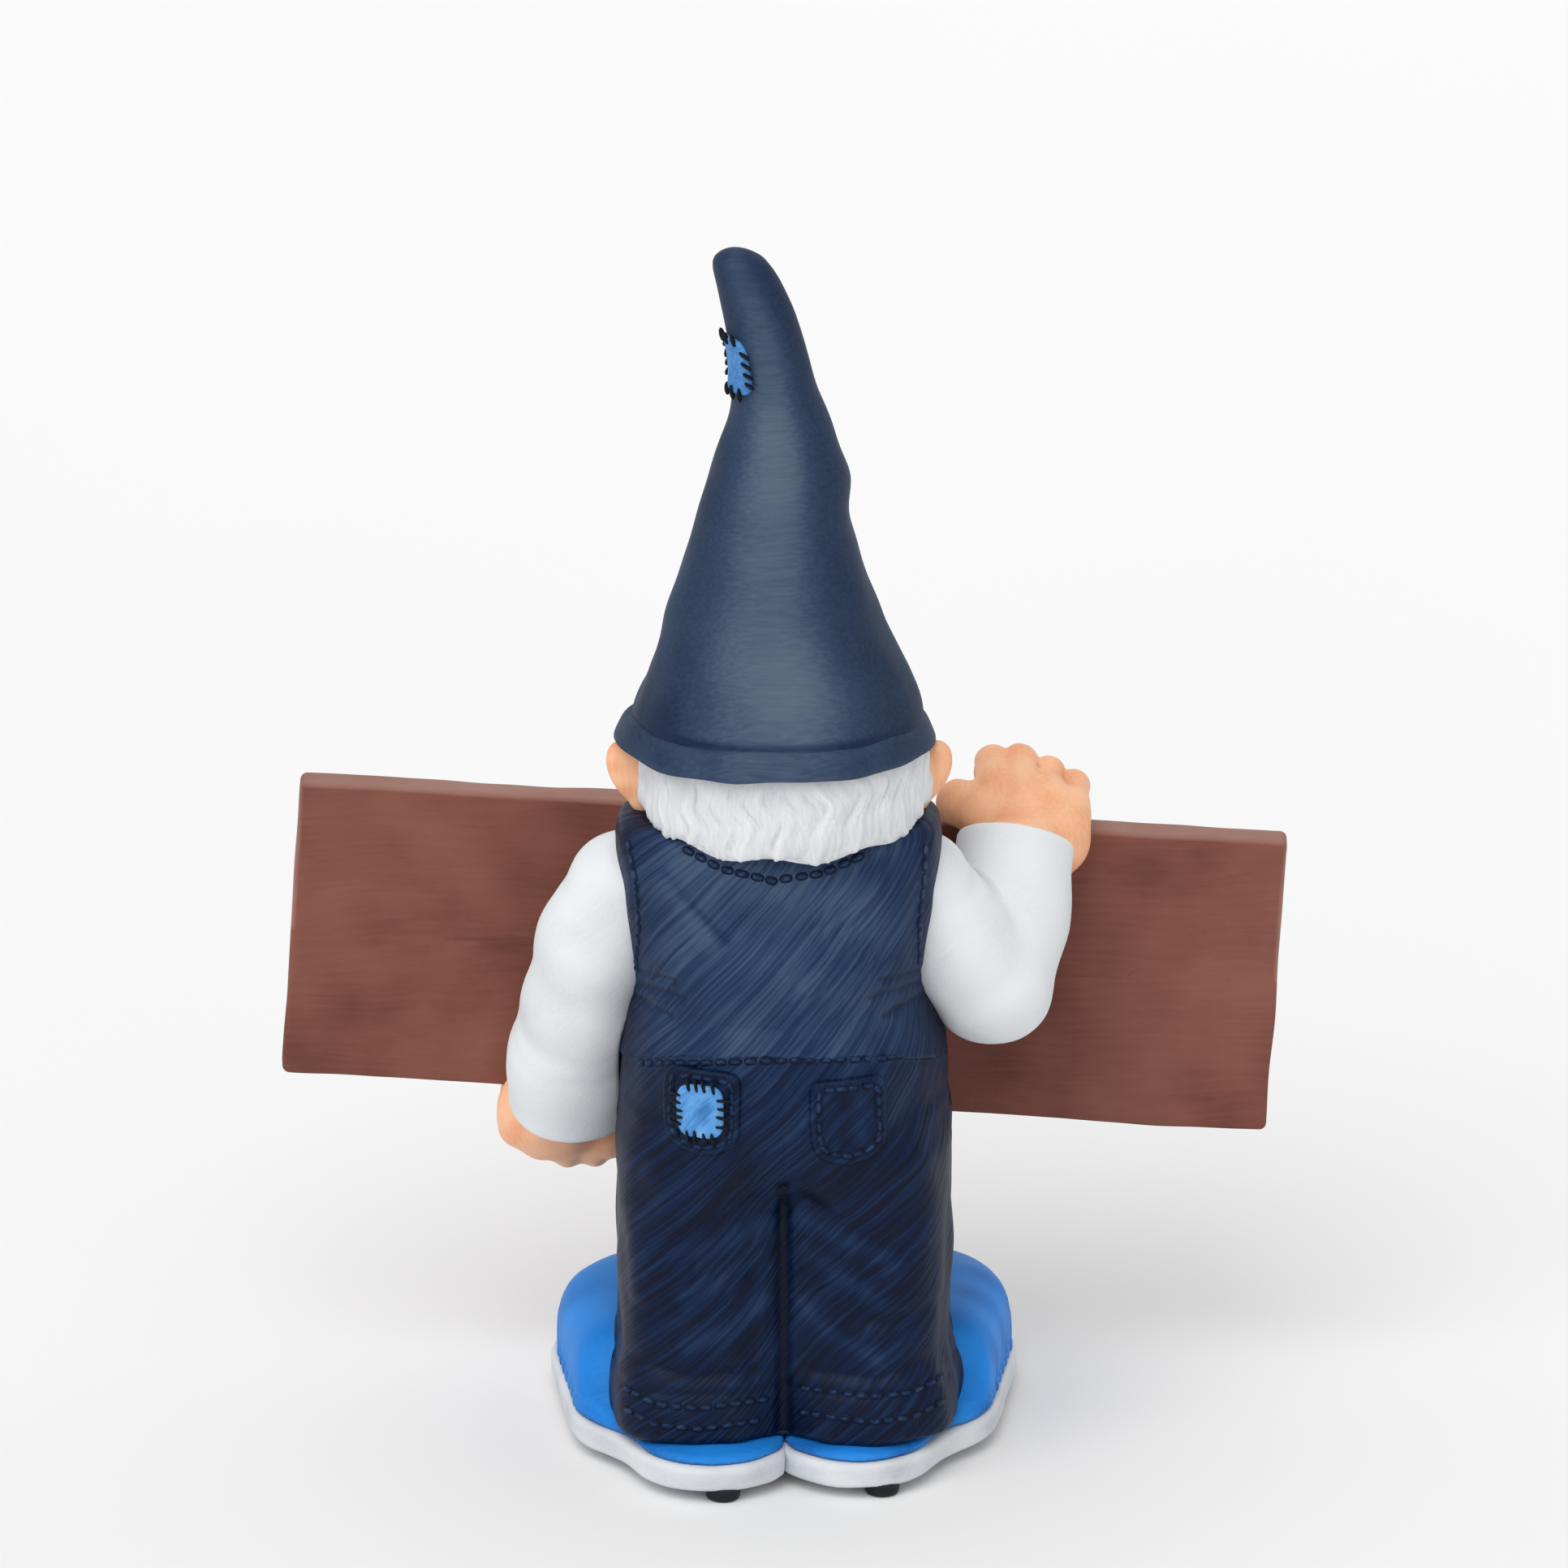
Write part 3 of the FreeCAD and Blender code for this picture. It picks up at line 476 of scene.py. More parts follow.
HIPS = [
    (0.1, -2, 83, 34.6, 33.8),
    (0.1, -2, 91, 34.2, 33.4),
    (0.6, -2, 98, 32.8, 32.4),
    (1.2, -1.5, 107, 30.9, 30.8),
]
TORSO = HIPS + [
    (1.2, -1, 116, 31.6, 29.8),
    (1.1, -0.5, 127, 33.7, 27.2),
    (1.2, 0.5, 136, 34.2, 25.4),
    (1.0, 0.5, 143.4, 33.2, 22.6),
]
SEAT = [(0, -2, 64, 32.5, 28.5), (0.1, -2, 72, 34.2, 32.0)] + HIPS
LEG = [
    (18.2, 0, 9.4, 16.8, 27.2),
    (18.4, -0.2, 12, 18.4, 28.6),
    (18.4, -0.4, 16.5, 18.6, 28.6),
    (17.9, -0.6, 21.5, 18.3, 27.8),
    (17.1, -1, 28, 17.6, 26.8),
    (17.2, -1.4, 44, 17.7, 27),
    (17.1, -2, 58, 17.8, 28.8),
    (17, -2, 72, 17.4, 29.8),
    (16.6, -2, 80, 15.0, 27),
]
BODY_POWER = 2.35  # squareness of the level sections of the body
CLOTH = 1.8  # thickness of the overalls over the shirt
SEAM_LAP = 0.3
SEAM_STEP = 0.12


def seam_height(y):
    """Height of the waist seam: high at the middle of the back and front, lower at the sides."""
    return 88.6 + 9.4 * (np.abs(y + 1) / 31) ** 1.2


def torso_field(g):
    return stack(g, TORSO, BODY_POWER, 3.2)


def seat_field(g):
    return stack(g, SEAT, BODY_POWER, 5)


def body_waves(p, height):
    """Broad swells of the cast cloth."""
    return height * (0.6 * waves(p, 24, (1, 1, 0.5)) + 0.4 * waves(p, 11, (1, 1, 0.45)))


ARMHOLES = {
    1: [(34, 137.5), (32.2, 128), (31.4, 117), (32, 107)],
    -1: [(-30.6, 137), (-30.2, 127), (-29.3, 117), (-29.3, 107.8)],
}
BACK_FOLD = [(25, 128.6), (19, 120.8), (12, 113)]
NECKLINE = [(22.6, 134.9), (13, 129.4), (2.6, 126.8), (-8, 128.4), (-17.9, 133.1)]
WAIST_ROW = [(31.6, 86.2), (20, 86.2), (0, 86.9), (-18, 87.2), (-31, 87.9)]


def torso_relief(p, n):
    out = body_waves(p, 0.45)
    out += line(p, n, BACK_FOLD, 1.7, 0.45)
    out -= line(p, n, [(25, 126), (15, 112)], 2.4, 0.45)
    out += line(p, n, [(9, 118), (4, 112)], 3, 0.35)
    for side, x in ((1, 32), (-1, -29.5)):
        for drop, inward in ((0, 9), (2.6, 11), (5.4, 8)):
            out += line(p, n, [(x, 107 - drop), (x - side * inward, 104.5 - drop * 1.5)], 0.9, 0.55)
        out += 0.35 * bell(near(p, ARMHOLES[side]), 0, 1.2) * facing(n)
    out += line(p, n, [(-24, 99), (-12, 94.5), (0, 93.8), (12, 94.4), (24, 98)], 1.6, 0.35)
    return out


def torso_shade(p, n):
    q = seen(p)
    # painted light: lighter over the middle of the back, more so higher up, with painted shade towards the
    # sides and on faces turned to the front
    broad = np.exp(-np.abs((q[:, 0] - 1) / 30) ** 6) * facing(n)
    out = 0.14 + broad * (0.54 + 0.12 * np.clip((q[:, 1] - 96) / 25, 0, 1)) + 0.09 * waves(p, 18)
    # painted highlight high on the figure's left of the back
    out += 0.14 * bell(q[:, 0], 22, 8) * bell(q[:, 1], 129, 9)
    # painted highlight along the ridge beside the back fold
    out += 0.16 * bell(near(p, [(24, 125), (15, 112)]), 0, 2.0)
    # painted shade in the crease of the back fold
    return out - 0.16 * bell(near(p, BACK_FOLD), 0, 1.2)


g = Grid((-36, -38, 86), (36, 33, 145), 0.5)
outer = torso_field(g)
shirt = outer + CLOTH
bib = np.maximum(np.abs(g.x) - 22, g.z - 126 + 0.004 * g.x**2)
straps = np.abs(np.abs(g.x) - 18.4) - 4.4
open_front = np.maximum(np.maximum(g.y + 7, 112 - g.z), -smin(bib, straps, 1))
cloth = smax(outer - SEAM_STEP, -open_front, 0.9)
cloth = smax(cloth, seam_height(g.y) - SEAM_LAP - g.z, 0.2)
overalls = skin("overalls_top", g, cloth, "overalls_resin", torso_relief, torso_shade)
skin("shirt_body", g, smax(shirt, 96 - g.z, 1.0), "shirt_resin", relief=lambda p, n: body_waves(p, 0.35))


# folds across the legs, each a path of (x, s) places, a width and a depth
LEG_FOLDS = (
    ((24, 47), (14, 50), (4, 56), 2.2, 0.7),
    ((-26, 44), (-14, 49), (-4, 55), 2.2, 0.7),
    ((22, 30), (12, 33), (5, 40), 2.0, 0.45),
    ((-24, 27), (-13, 29), (-5, 37), 2.0, 0.45),
)


def trousers_relief(p, n):
    out = body_waves(p, 0.75)
    low = np.clip((70 - p[:, 2]) / 20, 0, 1)
    out += 0.35 * low * waves(p, 11, (1, 1, 0.3))
    out += 0.9 * (bell(p[:, 0], 10, 5) + bell(p[:, 0], -9, 5)) * bell(p[:, 2], 54, 8) * facing(n)
    for *path, width, depth in LEG_FOLDS:
        out += line(p, n, path, width, depth)
    for side in (1, -1):
        out += line(p, n, [(side * 1.5, 58), (side * 7, 61.5), (side * 14, 62)], 1.6, 0.4)
        out += line(p, n, [(side * 31, 20), (side * 20, 15.5), (side * 6, 17)], 1.5, 0.55)
        out += line(p, n, [(side * 33, 33), (side * 27, 29), (side * 18, 28)], 1.7, 0.4)
    out += line(p, n, [(0.1, 2), (0.1, 57)], 1.3, 1.1)
    out += line(p, n, [(0, 57), (0, 84)], 0.55, 0.25)
    return out - 0.35 * bell(p[:, 2], 21.6, 1.0)


# painted highlights along the folds of the legs, each a path of (x, s) places and a width
FOLD_HIGHLIGHTS = (
    ((4, 50), (12, 46), (22, 43), 2.6),
    ((5, 43), (13, 38), (21, 34), 2.2),
    ((4, 33), (12, 26), (20, 22), 2.0),
    ((-4, 51), (-12, 47), (-22, 41), 2.6),
    ((-5, 44), (-12, 38), (-20, 33), 2.2),
    ((-3, 33), (-10, 25), (-19, 20), 2.0),
)


def trousers_shade(p, n):
    q = seen(p)
    out = 0.16 + 0.05 * waves(p, 16, (1, 1, 0.4)) + 0.04 * waves(p, 8, (1, 1, 0.3))
    # painted light on the upper seat, fading towards the sides
    out += 0.24 * np.clip((q[:, 1] - 62) / 22, 0, 1) * np.exp(-np.abs(q[:, 0] / 29) ** 5) * facing(n)
    # painted highlights along the folds of the legs
    for *path, width in FOLD_HIGHLIGHTS:
        out += 0.24 * bell(near(p, path), 0, width) * facing(n)
    # painted shade in the crease between the legs and on faces turned to the front
    return out - 0.1 * bell(p[:, 0], 0, 1.8) * (q[:, 1] < 57) - 0.1 * (1 - facing(n))


g = Grid((-38, -38, 9), (38, 34, 100), 0.62)
legs = None
for side in (1, -1):
    stations = [(side * x, y, z, rx + (0.3 if side < 0 else 0), ry) for x, y, z, rx, ry in LEG]
    leg = stack(g, stations, 3.1, 2.0)
    legs = leg if legs is None else smin(legs, leg, 1.6)
web = np.maximum(np.maximum(np.abs(g.x) - 3.0, np.abs(g.y + 1) - 23.2), g.z - 70)
legs = smin(legs, smax(web, 8.0 - g.z, 1.0), 5.0)
field = smin(seat_field(g), legs, 4.5)
field = smax(smax(field, g.z - seam_height(g.y) - SEAM_LAP, 0.2), 9.6 - g.z, 1.0)
trousers = skin("trousers", g, field, "overalls_resin", trousers_relief, trousers_shade)

over_tree, trouser_tree = tree_of(overalls), tree_of(trousers)
rows = [row_on(over_tree, NECKLINE)]
for side in (1, -1):
    path = [(x - side * 0.9, s) for x, s in ARMHOLES[side]]
    rows.append(row_on(over_tree, path))
stitch_rows("bodice", rows)
rows = []
for s, side in ((8.6, 1), (4.0, 1), (11.2, -1), (5.6, -1)):
    path = [(side * 34.5, s + 5), (side * 27, s + 1), (side * 18, s), (side * 4, s + 2)]
    rows.append(row_on(trouser_tree, path))
waist = row_on(trouser_tree, [(x, s - 0.1) for x, s in WAIST_ROW])
stitch_rows("trousers", [waist, *rows])

# ---- pockets and seat patch


def over_trousers(middle_x, middle_z, turn):
    """Finder of places on the trousers round a middle, on axes turned by an angle."""
    c, s = math.cos(turn), math.sin(turn)

    def locate(x, z):
        return cast_back(trouser_tree, middle_x + c * x - s * z, middle_z + s * x + c * z)

    return locate


def inner_row(outline, share, locate, pitch, lift):
    """Stitch places along an outline drawn inwards."""
    path = np.vstack([outline, outline[:1]]) * share
    out, run = [], 0.0
    for a, b in zip(path, path[1:]):
        run += np.linalg.norm(b - a)
        if run >= pitch:
            run -= pitch
            place, normal = locate(*b)
            ahead, _ = locate(*(b + (b - a)))
            out.append((place + normal * lift, ahead - place, normal))
    return out


pocket_outline = rounded_outline(7.7, 8.5, 0.6, 1.8, top_corner=0.1)
pocket_places = {"left": (17, 86.6, 0.03), "right": (-13.3, 84.8, -0.04)}
pockets = []
rows = []
for side, (x, z, turn) in pocket_places.items():
    locate = over_trousers(x, z, turn)
    pocket = draped(
        f"back_pocket_{side}", pocket_outline, locate, 1.0, "overalls_resin", rim=0.25,
        shade=uneven(0.24, 0.15, 8),
    )
    pockets.append(pocket)
    rows.append(inner_row(pocket_outline, 0.8, locate, 2.6, 1.0))
stitch_rows("pocket", rows)

pocket_tree = tree_of(pockets[0])
PATCH_MIDDLE = (17.4, 86.4)
PATCH_HALF = (4.7, 5.6)


def over_pocket(x, z):
    """Place on the left pocket, or on the trousers beside it, round the middle of the seat patch."""
    place = (PATCH_MIDDLE[0] + x, PATCH_MIDDLE[1] + z)
    return cast_back(pocket_tree, *place) or cast_back(trouser_tree, *place)


draped(
    "seat_patch", rounded_outline(*PATCH_HALF, 0.7), over_pocket, 0.9, "patch_resin",
    shade=uneven(0.5, 0.3, 6),
)


def crossing_stitches(name, half, locate, sides, node, slant=0.12):
    """Thick thread ends crossing the edges of a patch; sides gives how many on each edge."""
    places = []
    for edge, count in sides.items():
        for k in range(count):
            t = ((k + 0.5) / count * 2 - 1) * 0.72
            x, z, dx, dz = {
                "top": (t * half[0], half[1], slant, 1),
                "bottom": (t * half[0], -half[1], slant, 1),
                "plus": (half[0], t * half[1], 1, slant),
                "minus": (-half[0], t * half[1], 1, slant),
            }[edge]
            turn = RNG.uniform(-0.14, 0.14)
            place, normal = locate(x, z)
            ahead, _ = locate(x + 0.5 * (dx + turn * dz), z + 0.5 * (dz - turn * dx))
            places.append((place + normal * 0.99, ahead - place, normal))
    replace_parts(beads(name, places, (1.5, 0.36, 0.6), "thread_paint", 0.3), node)


crossing_stitches(
    "seat_patch_threads", PATCH_HALF, over_pocket, {"top": 4, "bottom": 4, "plus": 5, "minus": 4},
    "seat_patch_stitches",
)

# ---- shoes, soles and cleats

# discs of the outline in plan: centre x, centre y and radius, for the left shoe
HEEL_BACK = (16.5, 17.3, 18.8)
HEEL_SIDE = (13.6, 18.0, 18.9)
WAIST = (22.0, -3.5, 23.5)
TOE = (24.75, -34.6, 24.7)
SOLE_LOW, SOLE_TOP = 2.5, 8.1
MIDDLE_LAP = 0.25  # how far each shoe passes the middle of the figure, where the two meet
HEEL_MIDDLE = (16.9, 20.2)
HEEL_REACH, TOE_REACH = 17, 24.6
# cleats as shares of the heel's or the toe's reach, across and along from its middle
TOE_CLEATS = [(-0.58, 0.62), (0.6, 0.42), (-0.5, -0.42), (0.42, -0.52)]
HEEL_CLEATS = {"left": [(-0.24, 0.66), (0.5, -0.3)], "right": [(0.22, 0.62), (-0.4, -0.3)]}


def shoe_plan(x, y):
    """Distance in plan from the outline of the left shoe."""

    def disc(c):
        return np.sqrt((x - c[0]) ** 2 + (y - c[1]) ** 2) - c[2]

    d = [TOE[0] - WAIST[0], TOE[1] - WAIST[1]]
    t = np.clip(((x - WAIST[0]) * d[0] + (y - WAIST[1]) * d[1]) / (d[0] ** 2 + d[1] ** 2), 0, 1)
    front = np.sqrt((x - WAIST[0] - t * d[0]) ** 2 + (y - WAIST[1] - t * d[1]) ** 2)
    front = front - (WAIST[2] + t * (TOE[2] - WAIST[2]))
    return smin(smax(disc(HEEL_BACK), disc(HEEL_SIDE), 3.0), front, 7.0)


for side, sign in (("left", 1), ("right", -1)):
    set_back = SOLE_SET_BACK if sign < 0 else 0.0
    low_x, high_x = (-1.8, 50) if sign > 0 else (-50, 1.8)
    g = Grid((low_x, -63, 2), (high_x, 39, 33), 0.6)
    along = g.y + set_back
    plan = shoe_plan(g.x * sign, along)
    inner = -MIDDLE_LAP - g.x * sign
    sole = smax(plan, np.abs(g.z - (SOLE_LOW + SOLE_TOP) / 2) - (SOLE_TOP - SOLE_LOW) / 2, 1.5)
    skin(
        f"sole_{side}", g, smax(sole, inner, 0.5), "sole_resin",
        relief=uneven(0, 0.15, 11),
        shade=uneven(0.55, 0.3, 12),
    )
    # the upper is a low rim round the heel that rises to a dome over the toes
    inward = np.clip(1 + (plan + 0.9) / np.where(g.y > 5, 17.0, 24.0), 0, 1.2)
    tall = 2.4 + 15.8 / (1 + np.exp((along - 2) / 3.2))
    top = SOLE_TOP + tall * np.maximum(1 - inward**3.6, 0) ** (1 / 3.6)
    upper = smax(smax(plan + 0.15, (g.z - top) * 0.75, 3.0), SOLE_TOP + 0.15 - g.z, 0.8)
    skin(
        f"shoe_{side}", g, smax(upper, inner, 0.9), "shoe_resin",
        relief=lambda p, n: -0.35 * bell(p[:, 2], 10.6, 0.45) * (np.abs(n[:, 2]) < 0.7) + 0.15 * waves(p, 14),
        shade=lambda p, n: 0.5 + 0.25 * waves(p, 15) - 0.3 * bell(p[:, 2], 8.6, 1.2),
    )
    g = Grid((low_x, -60, 0), (high_x, 38, 6), 0.5)
    cleats = None
    spots = [(HEEL_MIDDLE, HEEL_REACH, *shares) for shares in HEEL_CLEATS[side]]
    spots += [(TOE, TOE_REACH, *shares) for shares in TOE_CLEATS]
    for middle, reach, across, back in spots:
        x, y = sign * (middle[0] + across * reach), middle[1] - set_back + back * reach
        round_peg = np.sqrt((g.x - x) ** 2 + (g.y - y) ** 2)
        flange = np.minimum(0.16 * (g.z - 0.4), 0.5)
        peg = smax(round_peg - 3.5 - flange, np.abs(g.z - 1.6) - 1.6, 0.7)
        cleats = peg if cleats is None else np.minimum(cleats, peg)
    skin(f"cleats_{side}", g, cleats, "cleat_resin")

# ---- head, ears, hair and face

LIDS = (
    [(5.8, -28.6, 151.5, 0.9), (9.6, -29.2, 153.4, 1.1), (13.4, -27.2, 151.8, 0.9)],
    [(5.9, -28.4, 149.6, 0.8), (9.8, -28.8, 148.1, 0.9), (13.4, -27.0, 149.8, 0.8)],
)
g = Grid((-29, -34, 124), (29, 27, 172), 0.55)
head = ellipsoid(g, (0, -2, 149), (27.2, 27.2, 23))
head = smin(head, limb(g, [(0, 0, 136, 15), (0, 0, 126, 15)]), 5)
for sign in (1, -1):
    head = smin(head, ellipsoid(g, (sign * 13.5, -23.4, 143.6), (7.5, 5.6, 6.2)), 4)
    head = smax(head, -ellipsoid(g, (sign * 9.6, -30.6, 151.2), (5.0, 5.2, 3.6)), 2.5)
    for lid in LIDS:
        head = smin(head, limb(g, mirrored(sign, lid)), 0.9)
head = smin(head, limb(g, [(0, -28.6, 153, 2.4), (0, -31, 149, 2.8)]), 3)
lips = limb(g, [(-5, -29.2, 136.4, 1.1), (0, -30.6, 135.4, 1.5), (5, -29.2, 136.4, 1.1)])
head = smin(head, lips, 1.0)


def skin_shade(p, n):
    cheeks = (bell(p[:, 0], 14, 6) + bell(p[:, 0], -14, 6)) * bell(p[:, 2], 144, 5) * (p[:, 1] < -10)
    mouth = bell(p[:, 2], 135.6, 1.6) * (p[:, 1] < -25)
    return 0.5 + 0.12 * waves(p, 9) - 0.32 * cheeks - 0.3 * mouth


skin("head", g, head, "skin_resin", relief=uneven(0, 0.12, 6), shade=skin_shade)

g = Grid((-7, -38, 140), (7, -26, 154), 0.3)
nose = ellipsoid(g, (0, -31.2, 147), (5.4, 5.2, 4.9))
for sign in (1, -1):
    nose = smin(nose, ellipsoid(g, (sign * 3.9, -29.6, 145), (2.2, 2.8, 2.2)), 1.4)
    nose = smax(nose, -ellipsoid(g, (sign * 2.6, -31.6, 142.6), (0.9, 1.3, 0.9)), 0.5)
skin("nose", g, nose, "skin_resin", shade=uneven(0.3, 0.1, 6))

EAR_X = {"left": 31.2, "right": -29.2}
EAR_RIB = [(-2.2, -1.2, 146.6, 0.8), (-0.6, -1.4, 150, 0.9), (0.6, -1.4, 153, 0.7)]
EYEBROW = [
    (5.2, -30.0, 155.2, 1.2),
    (9.0, -29.4, 155.5, 1.7),
    (13.4, -27.2, 154.4, 1.5),
    (16.6, -25, 152.2, 0.9),
]
for side, sign in (("left", 1), ("right", -1)):
    mid = EAR_X[side]
    g = Grid((mid - 9, -8, 139), (mid + 9, 7, 161), 0.32)
    ear = ellipsoid(g, (mid, 0, 150.6), (5.0, 3.4, 8.2), sign * 0.56)
    ear = smax(ear, -ellipsoid(g, (mid + sign * 0.2, -3.0, 150.2), (3.3, 2.8, 5.8), sign * 0.56), 0.9)
    ear = smin(ear, limb(g, mirrored(sign, EAR_RIB, mid)), 0.8)
    ear = smin(ear, ellipsoid(g, (mid - sign * 2.0, 0.2, 144.6), (2.8, 2.6, 3.0)), 1.6)
    skin(f"ear_{side}", g, ear, "skin_resin", shade=uneven(0.45, 0.15, 5))

    g = Grid((sign * 9.6 - 4, -32, 147), (sign * 9.6 + 4, -25, 155), 0.2)
    ball = ellipsoid(g, (sign * 9.6, -27.3, 150.6), (3.0, 2.9, 2.6))
    gaze = (sign * 9.3, 150.7)
    skin(
        f"eye_{side}", g, ball, "eye_paint",
        shade=lambda p, n, gaze=gaze: np.hypot(p[:, 0] - gaze[0], p[:, 2] - gaze[1]) / 4,
    )

    g = Grid((sign * 10.6 - 8, -34, 151), (sign * 10.6 + 8, -23, 160), 0.3)
    skin(
        f"eyebrow_{side}", g, limb(g, mirrored(sign, EYEBROW)), "hair_resin",
        relief=lambda p, n: 0.3 * np.sin(4.2 * p[:, 0] + 2.6 * p[:, 2] + waves(p, 5)),
    )


MOUSTACHE = [
    (1.4, -33.4, 141.6, 2.2),
    (6.5, -33.6, 141.0, 3.4),
    (12.5, -31.6, 138.6, 2.9),
    (17.4, -28.8, 136.4, 1.7),
    (20, -27, 137.2, 0.7),
]
HAIR = [
    (0, 1.5, 138, 27.2, 27.6),
    (0, 1.5, 143.5, 29.6, 29.8),
    (0, 0.8, 149, 30.6, 30.6),
    (0, 0.5, 155, 30.2, 30.2),
    (0, 0.5, 159, 29.6, 29.6),
    (0, 0.5, 163, 28, 28),
]
BEARD = [
    (0, -30.5, 107.5, 3, 2.6),
    (0, -29.4, 113, 8.4, 5.4),
    (0, -26.4, 122, 14.6, 8.4),
    (0, -21.8, 133, 21.4, 12),
    (0, -17.6, 142, 25.2, 12),
    (0, -15.4, 149, 25.6, 9),
]


def strands(p, height):
    """Locks running down round the head, swaying and splitting as they go."""
    around = np.arctan2(p[:, 0], p[:, 1])
    sway = 1.5 * np.sin(p[:, 2] * 0.34 + 2.2 * np.sin(around * 1.7 + 0.4))
    sway = sway + 0.5 * np.sin(p[:, 2] * 0.8 + around * 5)
    flat = np.stack([around * 30 + sway, p[:, 2] * 0.12, np.zeros(len(p))], 1)
    locks = waves(flat, 4.6, count=14)
    fine = waves(flat, 1.7, count=14)
    return height * (0.75 * locks + 0.4 * fine)


def hair_low(x, y):
    """Height of the lower edge of the hair round the head."""
    around = np.arctan2(x, y)
    return 141.4 + 3.6 * (np.abs(around) / 1.6) ** 2 + 0.9 * np.sin(around * 9 + 0.7)


g = Grid((-32, -10, 137), (32, 33, 163.5), 0.5)
hair = stack(g, HAIR)
hair = smax(smax(hair, hair_low(g.x, g.y) - g.z, 2.0), -6.5 - g.y + 0.12 * (g.z - 150), 1.5)
skin(
    "hair", g, hair, "hair_resin",
    relief=lambda p, n: strands(p, 0.75) * np.clip((161 - p[:, 2]) / 5, 0, 1) * (n[:, 2] > -0.8),
    shade=uneven(0.6, 0.1, 8),
)

g = Grid((-27, -42, 106), (27, -6, 150), 0.5)
beard = stack(g, BEARD, 2.0, 1.5)
mouth = ellipsoid(g, (0, -32, 137), (6, 6, 2.6))
beard = smax(beard, -mouth, 1.5)
face_opening = ellipsoid(g, (0, -34, 151), (19.5, 20, 13.5))
beard = smax(beard, -face_opening, 1.5)


def beard_locks(p, height):
    """Wavy locks fanning out from the chin."""
    bend = 0.55 * np.sin(p[:, 2] * 0.3 + 0.5 * np.sin(p[:, 0] * 0.3)) + 0.3 * np.sin(p[:, 2] * 0.62)
    fan = p[:, 0] * (1 + (150 - p[:, 2]) * 0.022)
    a = np.sin((fan + bend * 2.4) * 1.45)
    b = np.sin((fan + bend * 2.4) * 3.7 + 1.0)
    return height * (0.7 * (1 - 2 * np.sqrt(np.abs((1 - a) / 2))) + 0.3 * b)


skin(
    "beard", g, beard, "hair_resin", relief=lambda p, n: beard_locks(p, 0.7),
    shade=lambda p, n: 0.6 + 0.2 * beard_locks(p, 1),
)

g = Grid((-22, -40, 131), (22, -24, 147), 0.35)
moustache = None
for sign in (1, -1):
    lobe = limb(g, mirrored(sign, MOUSTACHE), 1.5)
    moustache = lobe if moustache is None else smin(moustache, lobe, 0.7)
skin(
    "moustache", g, moustache, "hair_resin",
    relief=lambda p, n: 0.34 * np.sin(3.4 * p[:, 2] + 0.9 * np.abs(p[:, 0]) + 0.8 * waves(p, 6)),
    shade=uneven(0.62, 0.15, 3),
)

# ---- hat

HAT = [
    (1.5, 0, 154, 31.6, 31.6),
    (1.4, 0, 165, 30.8, 30.8),
    (1.1, 0, 173, 27.8, 27.8),
    (2.3, 0, 185.6, 22.7, 22.7),
    (2.2, 0, 205.5, 17, 17),
    (1.6, 0, 216.4, 14.4, 14.4),
    (1.3, 0, 225.4, 11.8, 11.8),
    (2.05, 0, 236.7, 9.35, 9.35),
    (3.8, 0, 247.2, 8.1, 8.1),
    (4.75, 0, 251.7, 7.4, 7.4),
    (7.4, 0, 258.6, 6.8, 6.8),
    (9.4, 0, 264, 5.4, 5.4),
    (10.2, 0, 267, 2.6, 2.6),
]
# swells and dents: x, s, width and height
HAT_SWELLS = ((-12, 216, 5, 0.7), (-8, 181, 7, -0.9), (-17, 176, 6, -0.8), (4, 200, 6, -0.4))
BRIM_HALF = 3.2
BRIM_X = 1.9
BRIM_RADIUS = 34.2
BRIM_INNER = 26.0


def brim_middle(y):
    """Height of the middle of the brim, higher at the back."""
    return 161.0 + 0.075 * y


def hat_at(z, column):
    """Value of a column of the hat's sections at a height: 0 is the centre x, 3 the radius."""
    return curve_through([row[2] for row in HAT], [row[column] for row in HAT], z)


def hat_relief(p, n):
    out = 0.5 * waves(p, 34) + 0.22 * waves(p, 13)
    for x, s, width, height in HAT_SWELLS:
        out += height * bell(p[:, 0], x, width) * bell(seen(p)[:, 1], s, width)
    return out


def hat_shade(p, n):
    across = (p[:, 0] - hat_at(p[:, 2], 0)) / hat_at(p[:, 2], 3)
    back = 1 / (1 + np.exp(-p[:, 1] / 3))
    # painted highlight down the back of the cone a little left of its middle, painted shade towards its sides;
    # the front is evenly dim
    out = 0.14 + 0.5 * np.exp(-np.abs((across - 0.04) / 0.56) ** 3) * back + 0.14 * (1 - back)
    # darker towards the tip
    out *= np.clip(1.16 - (p[:, 2] - 215) / 90, 0.6, 1)
    # painted shade in the crease where the cone meets the brim
    out -= 0.4 * bell(p[:, 2], brim_middle(p[:, 1]) + BRIM_HALF + 0.3, 0.9)
    # a darker band just above the brim
    return out + 0.07 * waves(p, 20, (1, 1, 0.5)) - 0.1 * bell(p[:, 2], 168, 8)


g = Grid((-34, -33, 154), (35, 33, 268), 0.62)
cone = smax(stack(g, HAT, 2.0, 2.5), brim_middle(g.y) - 1.5 - g.z, 0.8)
hat_skin = skin("hat", g, cone, "hat_resin", relief=hat_relief, shade=hat_shade)

g = Grid((-36, -36, 150), (39, 36, 172), 0.5)
ring = np.sqrt((g.x - BRIM_X) ** 2 + g.y**2)
around = np.arctan2(g.y, g.x - BRIM_X)
middle = brim_middle(g.y) + 0.35 * np.sin(3 * around + 1) + 0.25 * np.sin(5 * around)
